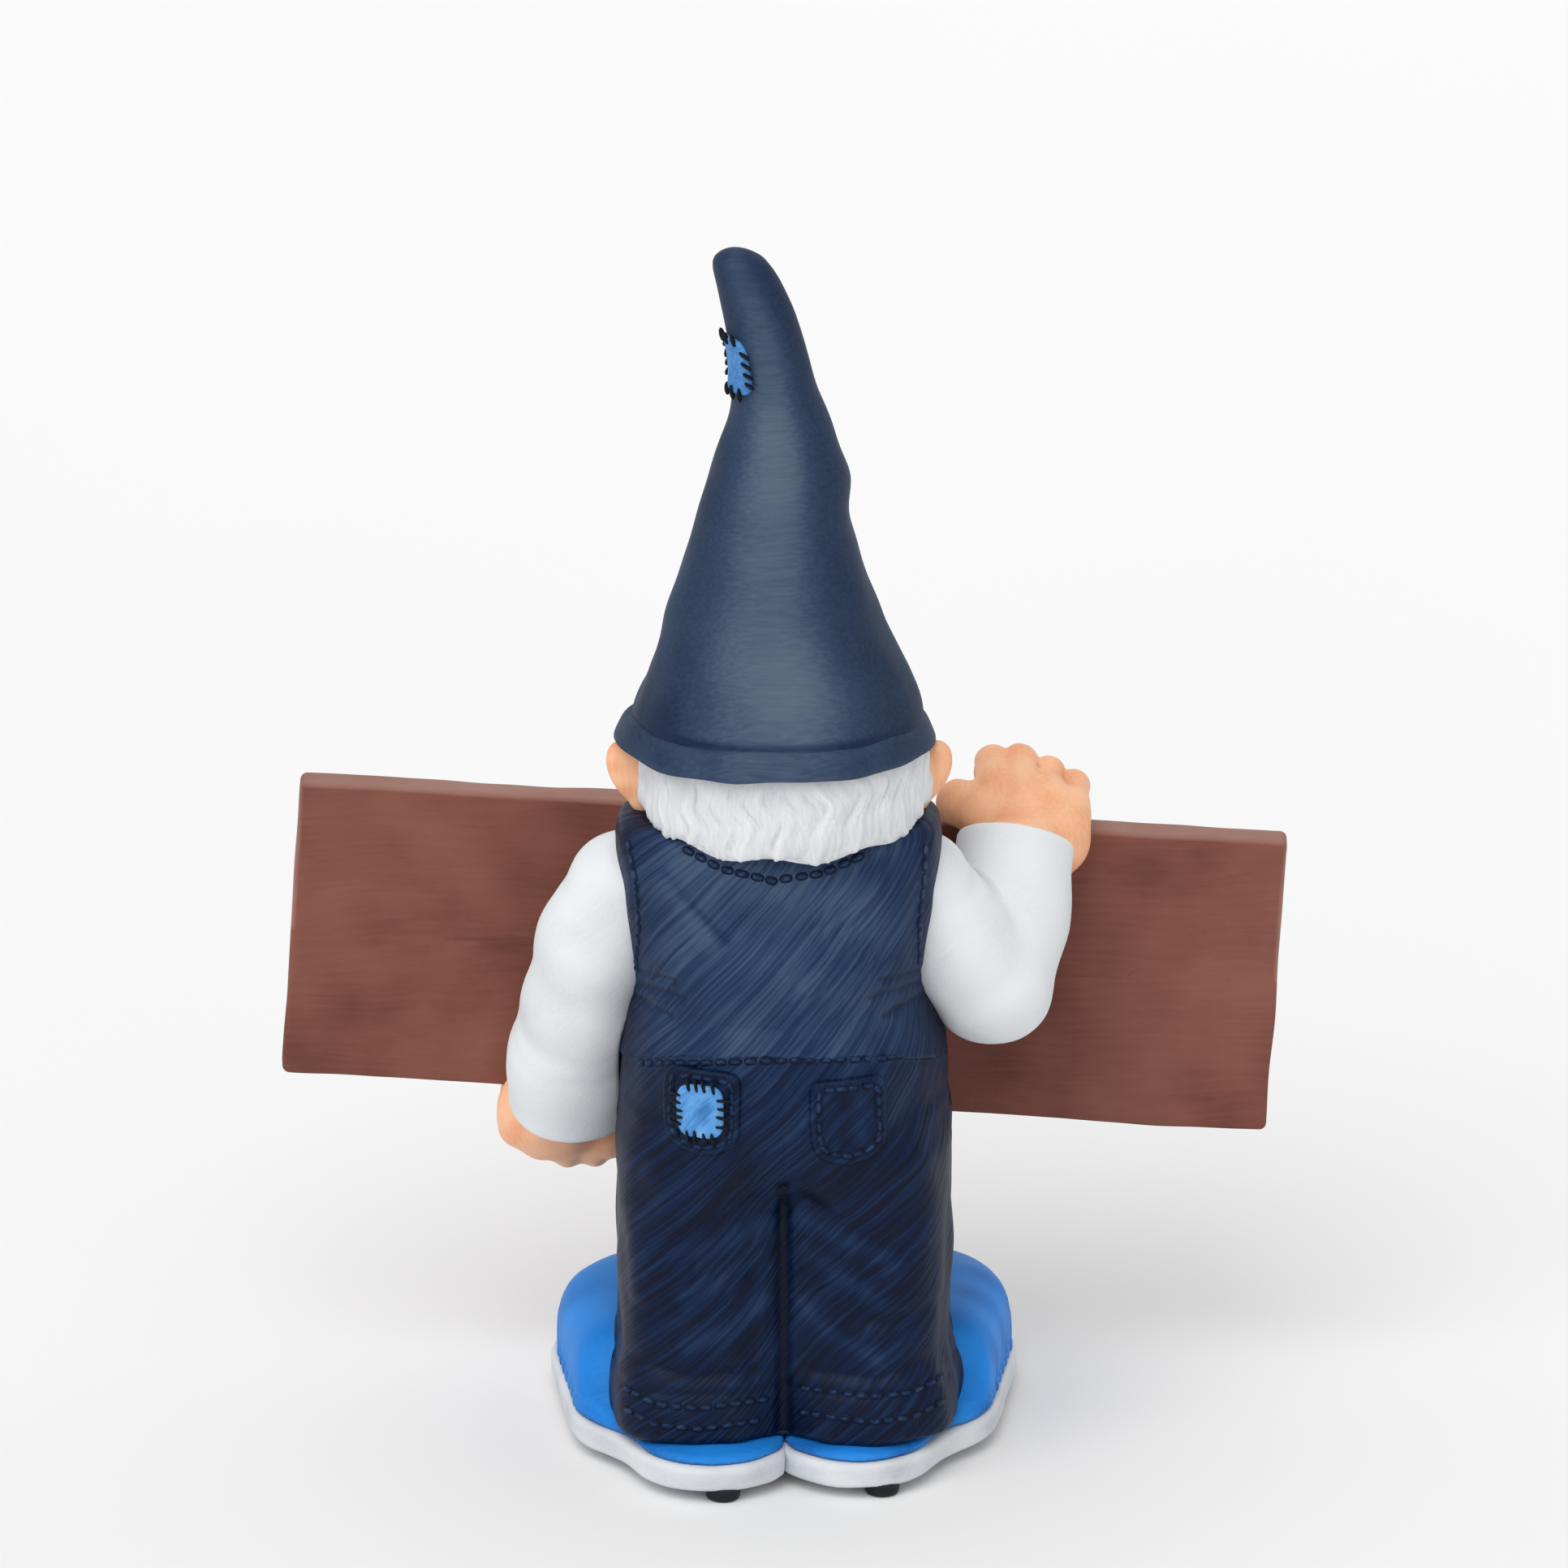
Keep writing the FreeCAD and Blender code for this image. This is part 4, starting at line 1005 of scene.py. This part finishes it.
# the band leans outward towards its lower edge
brim = smax(ring - BRIM_RADIUS + 0.4 * (g.z - middle + BRIM_HALF), np.abs(g.z - middle) - BRIM_HALF, 1.8)
brim = smax(brim, BRIM_INNER - ring, 0.8)
skin(
    "hat_brim", g, brim, "hat_resin",
    relief=uneven(0, 0.3, 16),
    # painted highlight down the middle of the back of the brim, painted shade towards its sides
    shade=lambda p, n: 0.16 + 0.3 * bell(p[:, 0], 2, 18) + 0.06 * waves(p, 12),
)

hat_tree = tree_of(hat_skin)
HAT_PATCH_AROUND = 1.15  # angle from the back towards the figure's left
HAT_PATCH_BEND = 9.0  # radius of the hat at the patch
HAT_PATCH_Z = 242.6
HAT_PATCH_HALF = (5.6, 6.0)


def on_hat(x, z):
    at = HAT_PATCH_Z + z
    return cast_round(hat_tree, HAT_PATCH_AROUND + x / HAT_PATCH_BEND, at, (float(hat_at(at, 0)), 0))


draped(
    "hat_patch", rounded_outline(*HAT_PATCH_HALF, 0.7), on_hat, 0.8, "patch_resin",
    shade=uneven(0.2, 0.2, 6),
)
crossing_stitches(
    "hat_patch_threads", HAT_PATCH_HALF, on_hat, {"top": 3, "bottom": 3, "plus": 4, "minus": 4},
    "hat_patch_stitches", slant=0.35,
)

# ---- sleeves


def sleeve_relief(elbow, shoulder):
    """Broad swells, and ripples round the elbow and the shoulder."""

    def relief(p, n):
        out = 0.25 * waves(p, 22) + 0.06 * waves(p, 9)
        for at, length in ((elbow, 12), (shoulder, 14)):
            away = np.linalg.norm(p - np.array(at), axis=1)
            ripple = np.sin(away * 1.05 + 1.4 * waves(p, 17))
            out += 0.26 * ripple * np.exp(-((away / length) ** 2))
        return out

    return relief


def open_cuff(g, arm, way, end, floor, mouth):
    """Arm cut off across a direction at its end, with a mouth round the wrist as deep as its floor."""
    arm = smax(arm, plane(g, end, way), 1.4)
    hollow = smax(limb(g, mouth), -plane(g, floor, way), 0.6)
    return smax(arm, -hollow, 0.8)


def clear_of_body(g, arm):
    return smax(arm, -torso_field(g) - CLOTH * 0.5, 0.8)


# arms as chains of x, y, z and radius
LEFT_ARM = [
    (33.4, 0, 125.6, 11.8),
    (39.4, -1.2, 112, 12),
    (42.2, -6, 97, 12.1),
    (44.4, -12.6, 83, 12.7),
    (45, -17.4, 72, 13.2),
]
RIGHT_UPPER = [(-28.6, 0.4, 126.4, 10.8), (-36.4, -0.6, 113, 11.6), (-43.4, -2.6, 103, 12.7)]
RIGHT_LOWER = [(-43.8, -3.4, 102.2, 12.7), (-46.6, -12, 114, 12.5), (-48.9, -22, 129, 12.3)]

g = Grid((20, -34, 62), (60, 14, 140), 0.55)
mouth = [(45, -17, 74, 10.4), (45.4, -24, 58, 10.4)]
arm = limb(g, LEFT_ARM, 5)
arm = open_cuff(g, arm, (0.05, -0.40, -0.92), (45, -18.6, 70.2), (45, -16.6, 72.6), mouth)
field = clear_of_body(g, arm)
field = smax(field, -smax(seat_field(g), g.z - 97, 1), 0.8)
skin(
    "sleeve_left", g, field, "shirt_resin", relief=sleeve_relief((45, -2, 96), (31, 4, 132)),
    shade=uneven(0.55, 0.2, 15),
)

g = Grid((-64, -38, 86), (-20, 14, 144), 0.55)
upper = limb(g, RIGHT_UPPER, 5)
lower = limb(g, RIGHT_LOWER, 5)
mouth = [(-48.4, -19, 125, 10.4), (-50.6, -28, 139, 10.4)]
lower = open_cuff(g, lower, (-0.13, -0.58, 0.80), (-48.8, -21.2, 128.6), (-48.6, -19.4, 126), mouth)
field = clear_of_body(g, smin(upper, lower, 1.6))
skin(
    "sleeve_right", g, field, "shirt_resin", relief=sleeve_relief((-38, -10, 108), (-31, 4, 132)),
    shade=uneven(0.55, 0.2, 15),
)

# ---- sign board

BOARD_Y, BOARD_Z = -45.0, 94.2
BOARD_TILT = math.radians(-3.7)
BOARD_HALF = (104.5, 32.75)
BOARD_THICK = 8.0
BOARD_CORNER, LEAST_CORNER = 1.5, 0.2
BOARD_STEPS = (150, 46)  # faces along the long and the short edges


def board_to_figure(points):
    """From the board's axes (along, behind, above) to the figure's."""
    turn = Matrix.Rotation(BOARD_TILT, 3, "Y")
    return points @ np.array(turn).T + np.array([0, BOARD_Y, BOARD_Z])


def board_outline(inset):
    """Rectangle with small round corners, drawn inwards by an inset."""
    radius = max(BOARD_CORNER - inset, LEAST_CORNER)
    drawn_in = max(inset - BOARD_CORNER + LEAST_CORNER, 0)
    w, t = (half - BOARD_CORNER - drawn_in for half in BOARD_HALF)
    corners = [(w, t), (-w, t), (-w, -t), (w, -t)]
    out = []
    for n, corner in enumerate(corners):
        arc = np.radians(90 * n + np.linspace(0, 90, 7))
        swing = radius * np.stack([np.cos(arc), np.sin(arc)], 1)
        out += list(np.array(corner) + swing)
        start, end = out[-1], np.array(corners[(n + 1) % 4]) + swing[-1]
        steps = BOARD_STEPS[n % 2]
        out += [start + (end - start) * k / steps for k in range(1, steps)]
    return np.array(out)


def board_rings():
    """Rings over the whole board as inset and depth, from one face's middle round the edge to the other's."""
    rounding = 1.2
    edge = []
    for k in range(7):
        a = math.pi / 2 * k / 6
        edge.append((rounding * (1 - math.sin(a)), BOARD_THICK / 2 - rounding * (1 - math.cos(a))))
    face = [(inset, BOARD_THICK / 2) for inset in (32.3, 28.5, 23.5, 18.5, 14, 10, 6.5, 4, 2.4)]
    half = face + edge
    return half + [(0.0, depth) for depth in (1.2, 0.0, -1.2)] + [(i, -depth) for i, depth in reversed(half)]


def end_faces(first, count, turned):
    """Quads across the flat inside of a ring of points."""
    faces = []
    for k in range(count // 2 - 1):
        a, b = first + k, first + k + 1
        c, d = first + count - 2 - k, first + count - 1 - k
        if b < c:
            faces.append((a, b, c, d) if turned else (d, c, b, a))
    return faces


def make_board():
    """Solid board with rounded, slightly worn edges."""
    rings = board_rings()
    count = len(board_outline(0))
    points = np.array([(x, depth, z) for inset, depth in rings for x, z in board_outline(inset)])
    last = (len(rings) - 1) * count
    faces = ring_faces(len(rings), count) + end_faces(0, count, False) + end_faces(last, count, True)
    wear = points * np.array((1, 2, 1))
    to_edge = np.minimum(BOARD_HALF[0] - np.abs(points[:, 0]), BOARD_HALF[1] - np.abs(points[:, 2]))
    edge = np.clip(1 - to_edge / 4, 0, 1)
    points[:, 1] += 0.22 * waves(wear, 30) + 0.12 * waves(wear, 9) + 0.25 * edge * waves(wear, 14)
    points[:, 2] += 0.25 * edge * waves(wear, 38)
    points[:, 0] += 0.2 * edge * waves(wear, 22)
    thing = new_object("sign_board_skin", board_to_figure(points), np.array(faces), "board_resin")
    p, n = surface_of(thing)
    if np.einsum("ij,ij->i", p - p.mean(0), n).sum() < 0:
        thing.data.flip_normals()
    rubbed = 0.5 - 0.22 * np.clip(edge * 2 - 1.25, 0, 1) * (points[:, 2] > 0)
    shade = 0.6 + 0.14 * waves(wear, 45) + 0.1 * waves(wear, 16)
    # painted shadow of the arms and hands, on the board's face towards the figure
    arm_shadow = bell(points[:, 0], 30, 26) * bell(points[:, 2], -14, 26)
    arm_shadow += bell(points[:, 0], -34, 22) * bell(points[:, 2], 16, 26)
    paint_values(thing, rubbed, np.clip(shade - 0.25 * arm_shadow * (points[:, 1] > 0), 0, 1))
    return thing


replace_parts(make_board(), "sign_board")

# ---- hands, made on the board's own axes with the gripped edge at zero

# along the board and the edge that is gripped: 1 is the upper edge, -1 the lower one
GRIP = {"left": (46.0, -1), "right": (-50.0, 1)}
GRIP_RISE = 3.0  # from the board's edge to the middle of the fist
# across the fist, height of its knuckle and thickness, from the little finger to the first
FINGERS = [(-8.6, 4.6, 3.3), (-3.2, 7.4, 3.15), (2.9, 9.2, 3.6), (8.7, 8.6, 3.6)]
WRIST_ENDS = {"left": (45.2, -17.6, 74.5), "right": (-48.4, -19.5, 124)}
for side, (along, up) in GRIP.items():
    # on these axes the thumb points to +x and up is away from the board's middle
    g = Grid((-18, -14, -18), (28, 32, 17), 0.4)
    hand = ellipsoid(g, (-0.5, 12.6, -1.6), (12.2, 8.0, 11.0))
    for x, high, thick in FINGERS:
        knuckle = ellipsoid(g, (x, 8.6, high - 1.2), (3.6, 5.4, 4.4))
        hand = smin(hand, knuckle, 2.6)
        path = [
            (x, 7.0, high - 0.4, thick),
            (x, -1.0, high + 0.5, thick),
            (x * 0.97, -7.2, high * 0.55, thick),
            (x * 0.95, -7.9, -2.4, thick * 0.97),
            (x * 0.93, -7.6, -8.0, thick * 0.9),
        ]
        hand = smin(hand, limb(g, path, 1.2), 1.1)
    thumb = limb(g, [(4, 12.4, 0, 5.8), (11, 11.4, 3, 5.3), (15.6, 10.0, 3.8, 4.9)], 2.0)
    hand = smin(hand, thumb, 1.6)
    # the wrist runs to the sleeve
    spot = np.array(WRIST_ENDS[side]) - np.array([0, BOARD_Y, BOARD_Z])
    local = np.array(Matrix.Rotation(-BOARD_TILT, 3, "Y")) @ spot
    wrist_end = ((local[0] - along) * up, local[1], local[2] * up - BOARD_HALF[1] - GRIP_RISE, 8.8)
    hand = smin(hand, limb(g, [(0, 14, -2, 8.6), wrist_end]), 3.0)
    plate = np.maximum(np.abs(g.y) - BOARD_THICK / 2 - 0.05, g.z + GRIP_RISE - 0.1)
    hand = smax(hand, -plate, 0.3)

    def place_hand(points, up=up, along=along):
        """From the fist's own axes to the figure's."""
        q = points + np.array([0, 0, BOARD_HALF[1] + GRIP_RISE])
        q[:, 0] *= up
        q[:, 2] *= up
        q[:, 0] += along
        return board_to_figure(q)

    skin(
        f"hand_{side}", g, hand, "skin_resin", relief=uneven(0, 0.1, 5),
        shade=uneven(0.5, 0.15, 9), to_figure=place_hand,
    )

# ---- buttons

for side, sign in (("left", 1), ("right", -1)):
    mid = box_mid(f"button_{side}") / MM
    centre = (mid.x, mid.y - AXIS_Y / MM, mid.z)
    way = Vector((sign * 0.42, -0.9, 0.12)).normalized()
    g = Grid([v - 5 for v in centre], [v + 5 for v in centre], 0.2)
    depth = plane(g, centre, way)
    away = (g.x - centre[0]) ** 2 + (g.y - centre[1]) ** 2 + (g.z - centre[2]) ** 2
    ring = np.sqrt(np.maximum(away - depth**2, 0))
    button = smax(ring - 3.2, np.abs(depth) - 1.1, 0.7)
    button = smax(button, -smax(ring - 2.1, 0.5 - depth, 0.4), 0.4)
    up_way = way.cross(Vector((0, 0, 1))).normalized()
    other = way.cross(up_way)
    for a, b in ((1, 1), (1, -1), (-1, 1), (-1, -1)):
        spot = Vector(centre) + up_way * a * 0.75 + other * b * 0.75
        hole = limb(g, [(*(spot - way * 0.2), 0.36), (*(spot + way * 2), 0.36)])
        button = smax(button, -hole, 0.15)
    skin(f"button_{side}", g, button, "button_paint", shade=uneven(0.5, 0.2, 3))

# ---- paint


def linear(rgb):
    """Linear colour of display values between 0 and 255."""
    shares = [v / 255 for v in rgb]
    return (*(v / 12.92 if v <= 0.04045 else ((v + 0.055) / 1.055) ** 2.4 for v in shares), 1.0)


class Nodes:
    """Short ways to add and link the nodes of one material."""

    def __init__(self, name):
        self.material = bpy.data.materials.new(name)
        self.material.use_nodes = True
        self.tree = self.material.node_tree
        self.tree.nodes.clear()

    def add(self, kind, settings=None, **inputs):
        node = self.tree.nodes.new(f"ShaderNode{kind}")
        for key, value in (settings or {}).items():
            setattr(node, key, value)
        for key, value in inputs.items():
            # i0, i1 and so on are inputs by number, other keys by name
            numbered = key[0] == "i" and key[1:].isdigit()
            self.put(value, node.inputs[int(key[1:]) if numbered else key.replace("_", " ")])
        return node

    def put(self, value, socket):
        """Link a socket, or set it to a plain value."""
        if isinstance(value, bpy.types.NodeSocket):
            self.tree.links.new(value, socket)
        else:
            socket.default_value = value

    def maths(self, operation, a, b):
        return self.add("Math", {"operation": operation}, i0=a, i1=b).outputs[0]

    def remap(self, value, low, high, to_low=0.0, to_high=1.0):
        node = self.add("MapRange", None, Value=value)
        for n, v in enumerate((low, high, to_low, to_high), 1):
            node.inputs[n].default_value = v
        return node.outputs[0]

    def mix(self, share, a, b):
        node = self.add("Mix", {"data_type": "RGBA"})
        for n, v in ((0, share), (6, a), (7, b)):
            self.put(v, node.inputs[n])
        return node.outputs[2]

    def surface(self, **inputs):
        """The material's surface shader."""
        shader = self.add("BsdfPrincipled", None, **inputs)
        self.tree.links.new(shader.outputs[0], self.add("OutputMaterial").inputs[0])
        return shader


def paint(
    name, stops, wash, edge, rough=(0.5, 0.66), stroke_turn=(0, 0, 0), stroke=(0.0007, 0.009),
    stroke_mix=0.16, stroke_depth=0.00005, grain=0.000035, blotch=0.12, wash_from=0.53,
    edge_from=0.46, wash_top=0.85, edge_top=0.4, constant=False, specular=0.2, stroke_bend=0.006, wrap=0.0,
):
    """Painted resin: colours along a ramp, brush strokes, a dark wash in the hollows and rubbed edges.

    stroke is the width and length of a brush stroke in metres. wrap is the radius round which strokes
    are laid, or 0 for strokes laid through space.
    """
    n = Nodes(name)
    spot = n.add("TexCoord").outputs["Object"]
    drift = n.add("TexNoise", None, Vector=spot, Scale=38.0, Detail=1.0).outputs["Color"]
    laid = spot
    if wrap:
        x, y, z = n.add("SeparateXYZ", None, Vector=spot).outputs
        turn = n.maths("ARCTAN2", x, n.maths("SUBTRACT", y, AXIS_Y))
        laid = n.add("CombineXYZ", None, X=n.maths("MULTIPLY", turn, wrap), Z=z).outputs[0]
    bend = (stroke_bend,) * 3
    bent = n.add("VectorMath", {"operation": "MULTIPLY_ADD"}, i0=drift, i1=bend, i2=laid).outputs[0]
    turned = n.add("Mapping", None, Vector=bent, Rotation=stroke_turn).outputs[0]
    wide, long = stroke
    scaled = n.add("Mapping", None, Vector=turned, Scale=(1 / wide, 1 / wide, 1 / long)).outputs[0]
    brush = n.add("TexNoise", None, Vector=scaled, Scale=1.0, Detail=2.0, Roughness=0.55).outputs[0]
    cloud = n.add("TexNoise", None, Vector=spot, Scale=70.0, Detail=4.0, Roughness=0.6).outputs[0]
    fine = n.add("TexNoise", None, Vector=spot, Scale=2200.0, Detail=2.0, Roughness=0.5).outputs[0]
    shade = n.add("Attribute", {"attribute_name": "shade"}).outputs["Fac"]
    hollow = n.add("Attribute", {"attribute_name": "hollow"}).outputs["Fac"]
    value = shade
    if not constant:
        value = n.maths("ADD", value, n.remap(brush, 0.36, 0.66, -stroke_mix, stroke_mix))
        value = n.maths("ADD", value, n.remap(cloud, 0.3, 0.7, -blotch, blotch))
    ramp = n.add("ValToRGB", None, Fac=value)
    band = ramp.color_ramp
    if constant:
        band.interpolation = "CONSTANT"
    while len(band.elements) < len(stops):
        band.elements.new(0.5)
    for element, (at, rgb) in zip(band.elements, stops):
        element.position = at
        element.color = linear(rgb)
    colour = ramp.outputs[0]
    if not constant:
        depth = n.maths("ADD", hollow, n.remap(cloud, 0.3, 0.7, -0.02, 0.02))
        washed = n.remap(depth, wash_from, wash_from + 0.12, 0.0, wash_top)
        colour = n.mix(washed, colour, linear(wash))
        rubbed = n.remap(depth, edge_from, edge_from - 0.16, 0.0, edge_top)
        colour = n.mix(rubbed, colour, linear(edge))
    roughness = n.remap(cloud, 0.25, 0.75, rough[0], rough[1])
    bump = n.add("Bump", None, Height=brush, Strength=1.0, Distance=stroke_depth).outputs[0]
    bump = n.add("Bump", None, Height=fine, Strength=1.0, Distance=grain, Normal=bump).outputs[0]
    shader = n.surface(Base_Color=colour, Roughness=roughness, Normal=bump)
    shader.inputs["IOR"].default_value = 1.45
    shader.inputs["Specular IOR Level"].default_value = specular
    return n.material


DIAGONAL = (0, 0.78, 0)
LEVEL = (0, math.pi / 2, 0)
FINISHES = {}
FINISHES["overalls_resin"] = paint(
    "overalls_paint",
    [(0, (0, 10, 36)), (0.22, (0, 24, 58)), (0.5, (20, 44, 78)), (0.75, (42, 64, 95)), (1, (62, 82, 108))],
    (0, 10, 32), (50, 74, 104), stroke_turn=DIAGONAL, stroke=(0.0008, 0.05), stroke_mix=0.21,
    stroke_depth=0.00036, stroke_bend=0.003, wrap=0.034, rough=(0.42, 0.52), edge_top=0.22, blotch=0.05,
)
FINISHES["hat_resin"] = paint(
    "hat_paint", [(0, (16, 37, 66)), (0.35, (48, 67, 93)), (0.65, (80, 97, 117)), (1, (98, 114, 131))],
    (10, 28, 54), (92, 109, 128), stroke_turn=LEVEL, stroke=(0.0007, 0.014), stroke_mix=0.05,
    stroke_depth=0.00004, edge_top=0.12, blotch=0.05,
)
FINISHES["patch_resin"] = paint(
    "patch_paint", [(0, (58, 118, 180)), (0.5, (88, 152, 216)), (1, (112, 172, 228))],
    (24, 60, 104), (140, 190, 236), stroke_turn=DIAGONAL, stroke_mix=0.2,
)
FINISHES["thread_paint"] = paint(
    "thread_black", [(0, (8, 12, 22)), (1, (30, 32, 38))], (4, 5, 8), (40, 42, 48), stroke_mix=0.1,
)
FINISHES["shirt_resin"] = paint(
    "shirt_paint", [(0, (204, 208, 213)), (0.5, (226, 230, 233)), (1, (234, 237, 239))],
    (160, 165, 172), (240, 242, 243), stroke_turn=DIAGONAL, stroke_mix=0.05, blotch=0.05,
    wash_from=0.56, wash_top=0.6,
)
FINISHES["skin_resin"] = paint(
    "flesh_paint",
    [(0, (214, 128, 92)), (0.3, (242, 172, 130)), (0.55, (250, 193, 152)), (1, (252, 202, 164))],
    (176, 104, 72), (252, 206, 170), rough=(0.42, 0.56), stroke_mix=0.06, stroke_depth=0.00002,
    wash_from=0.56, wash_top=0.6, blotch=0.06,
)
FINISHES["hair_resin"] = paint(
    "hair_paint",
    [(0, (176, 180, 184)), (0.45, (212, 215, 219)), (0.8, (229, 231, 233)), (1, (238, 239, 240))],
    (140, 145, 150), (242, 243, 243), stroke=(0.0005, 0.007), stroke_mix=0.1, wash_from=0.55, wash_top=0.6,
)
FINISHES["shoe_resin"] = paint(
    "shoe_paint", [(0, (14, 92, 172)), (0.3, (30, 122, 208)), (0.6, (34, 134, 224)), (1, (44, 142, 228))],
    (10, 50, 104), (80, 158, 230), edge_top=0.15, specular=0.16, blotch=0.05, rough=(0.42, 0.55),
    stroke_turn=LEVEL, stroke_mix=0.07, stroke_depth=0.00003,
)
FINISHES["sole_resin"] = paint(
    "sole_paint", [(0, (188, 192, 198)), (0.5, (210, 214, 220)), (1, (224, 227, 230))],
    (132, 136, 142), (232, 234, 236), stroke_turn=LEVEL, stroke_mix=0.08,
)
FINISHES["cleat_resin"] = paint(
    "cleat_paint", [(0, (10, 11, 14)), (1, (34, 36, 42))], (4, 5, 6), (58, 60, 66), stroke_mix=0.12,
)
FINISHES["board_resin"] = paint(
    "board_paint", [(0, (72, 40, 32)), (0.3, (104, 61, 50)), (0.6, (130, 80, 68)), (1, (144, 94, 81))],
    (56, 32, 26), (186, 150, 138), stroke_turn=LEVEL, stroke=(0.0011, 0.03), stroke_mix=0.05,
    stroke_depth=0.00003, edge_from=0.44, edge_top=0.6, blotch=0.1,
)
FINISHES["eye_paint"] = paint(
    "eye_paint", [(0, (8, 8, 10)), (0.26, (70, 96, 120)), (0.5, (232, 230, 224)), (0.9, (222, 214, 206))],
    (0, 0, 0), (255, 255, 255), rough=(0.15, 0.25), constant=True, grain=0.00001, stroke_depth=0.00001,
)
FINISHES["button_paint"] = paint(
    "button_paint", [(0, (150, 112, 50)), (0.5, (196, 156, 84)), (1, (222, 188, 118))],
    (84, 58, 22), (236, 210, 150), rough=(0.3, 0.45), stroke_mix=0.12,
)
for thing in [o for o in bpy.data.objects if o.type == "MESH" and "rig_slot" in o]:
    # the pressed outlines of stitches are cloth in shadow, so they carry the cloth's paint
    outline = thing.name.endswith("_outlines")
    thing.data.materials.clear()
    thing.data.materials.append(FINISHES["overalls_resin" if outline else thing["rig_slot"]])

# ---- floor, light and camera


def make_floor():
    """Wide sheet of pale paper."""
    mesh = bpy.data.meshes.new("floor")
    reach = 9.0
    corners = [(-reach, -reach, 0), (reach, -reach, 0), (reach, reach, 0), (-reach, reach, 0)]
    mesh.from_pydata(corners, [], [(0, 1, 2, 3)])
    floor = bpy.data.objects.new("floor", mesh)
    bpy.context.collection.objects.link(floor)
    n = Nodes("floor_paper")
    spot = n.add("TexCoord").outputs["Object"]
    cloud = n.add("TexNoise", None, Vector=spot, Scale=3.0, Detail=3.0).outputs[0]
    colour = n.mix(cloud, (0.90, 0.90, 0.90, 1), (0.93, 0.93, 0.93, 1))
    n.surface(Base_Color=colour, Roughness=0.9)
    mesh.materials.append(n.material)


def add_lamp(name, kind, energy, way, place=(0, 0, 0)):
    """Lamp at a place, shining along a direction."""
    lamp = bpy.data.lights.new(name, kind)
    lamp.energy = energy
    thing = bpy.data.objects.new(name, lamp)
    thing.location = place
    thing.rotation_euler = way.to_track_quat("-Z", "Y").to_euler()
    bpy.context.collection.objects.link(thing)
    return lamp


make_floor()
world = bpy.data.worlds.new("studio")
world.use_nodes = True
sky = world.node_tree.nodes["Background"].inputs
sky["Color"].default_value = (1, 1, 1, 1)
sky["Strength"].default_value = 0.7
bpy.context.scene.world = world
key = add_lamp("key", "SUN", 1.3, Vector((-0.35, -0.75, -1.0)))
key.angle = math.radians(50)
FILL_PLACE = Vector((-0.6, -1.6, 0.9))
fill = add_lamp("fill_front", "AREA", 1.5, Vector((0, 0, 0.13)) - FILL_PLACE, FILL_PLACE)
fill.size = 1.4

DISTANCE = 6.0
VIEW_WIDTH = 0.3286
SENSOR = 36
AIM_HEIGHT = 0.1483
camera_data = bpy.data.cameras.new("camera")
camera_data.sensor_width = SENSOR
camera_data.lens = SENSOR * DISTANCE / VIEW_WIDTH
camera = bpy.data.objects.new("camera", camera_data)
aim = Vector((0, AXIS_Y, AIM_HEIGHT))
camera.location = aim + DISTANCE * Vector((0, math.cos(ELEVATION), math.sin(ELEVATION)))
camera.rotation_euler = (aim - camera.location).to_track_quat("-Z", "Y").to_euler()
bpy.context.collection.objects.link(camera)
bpy.context.scene.camera = camera
bpy.context.scene.view_settings.view_transform = "Standard"
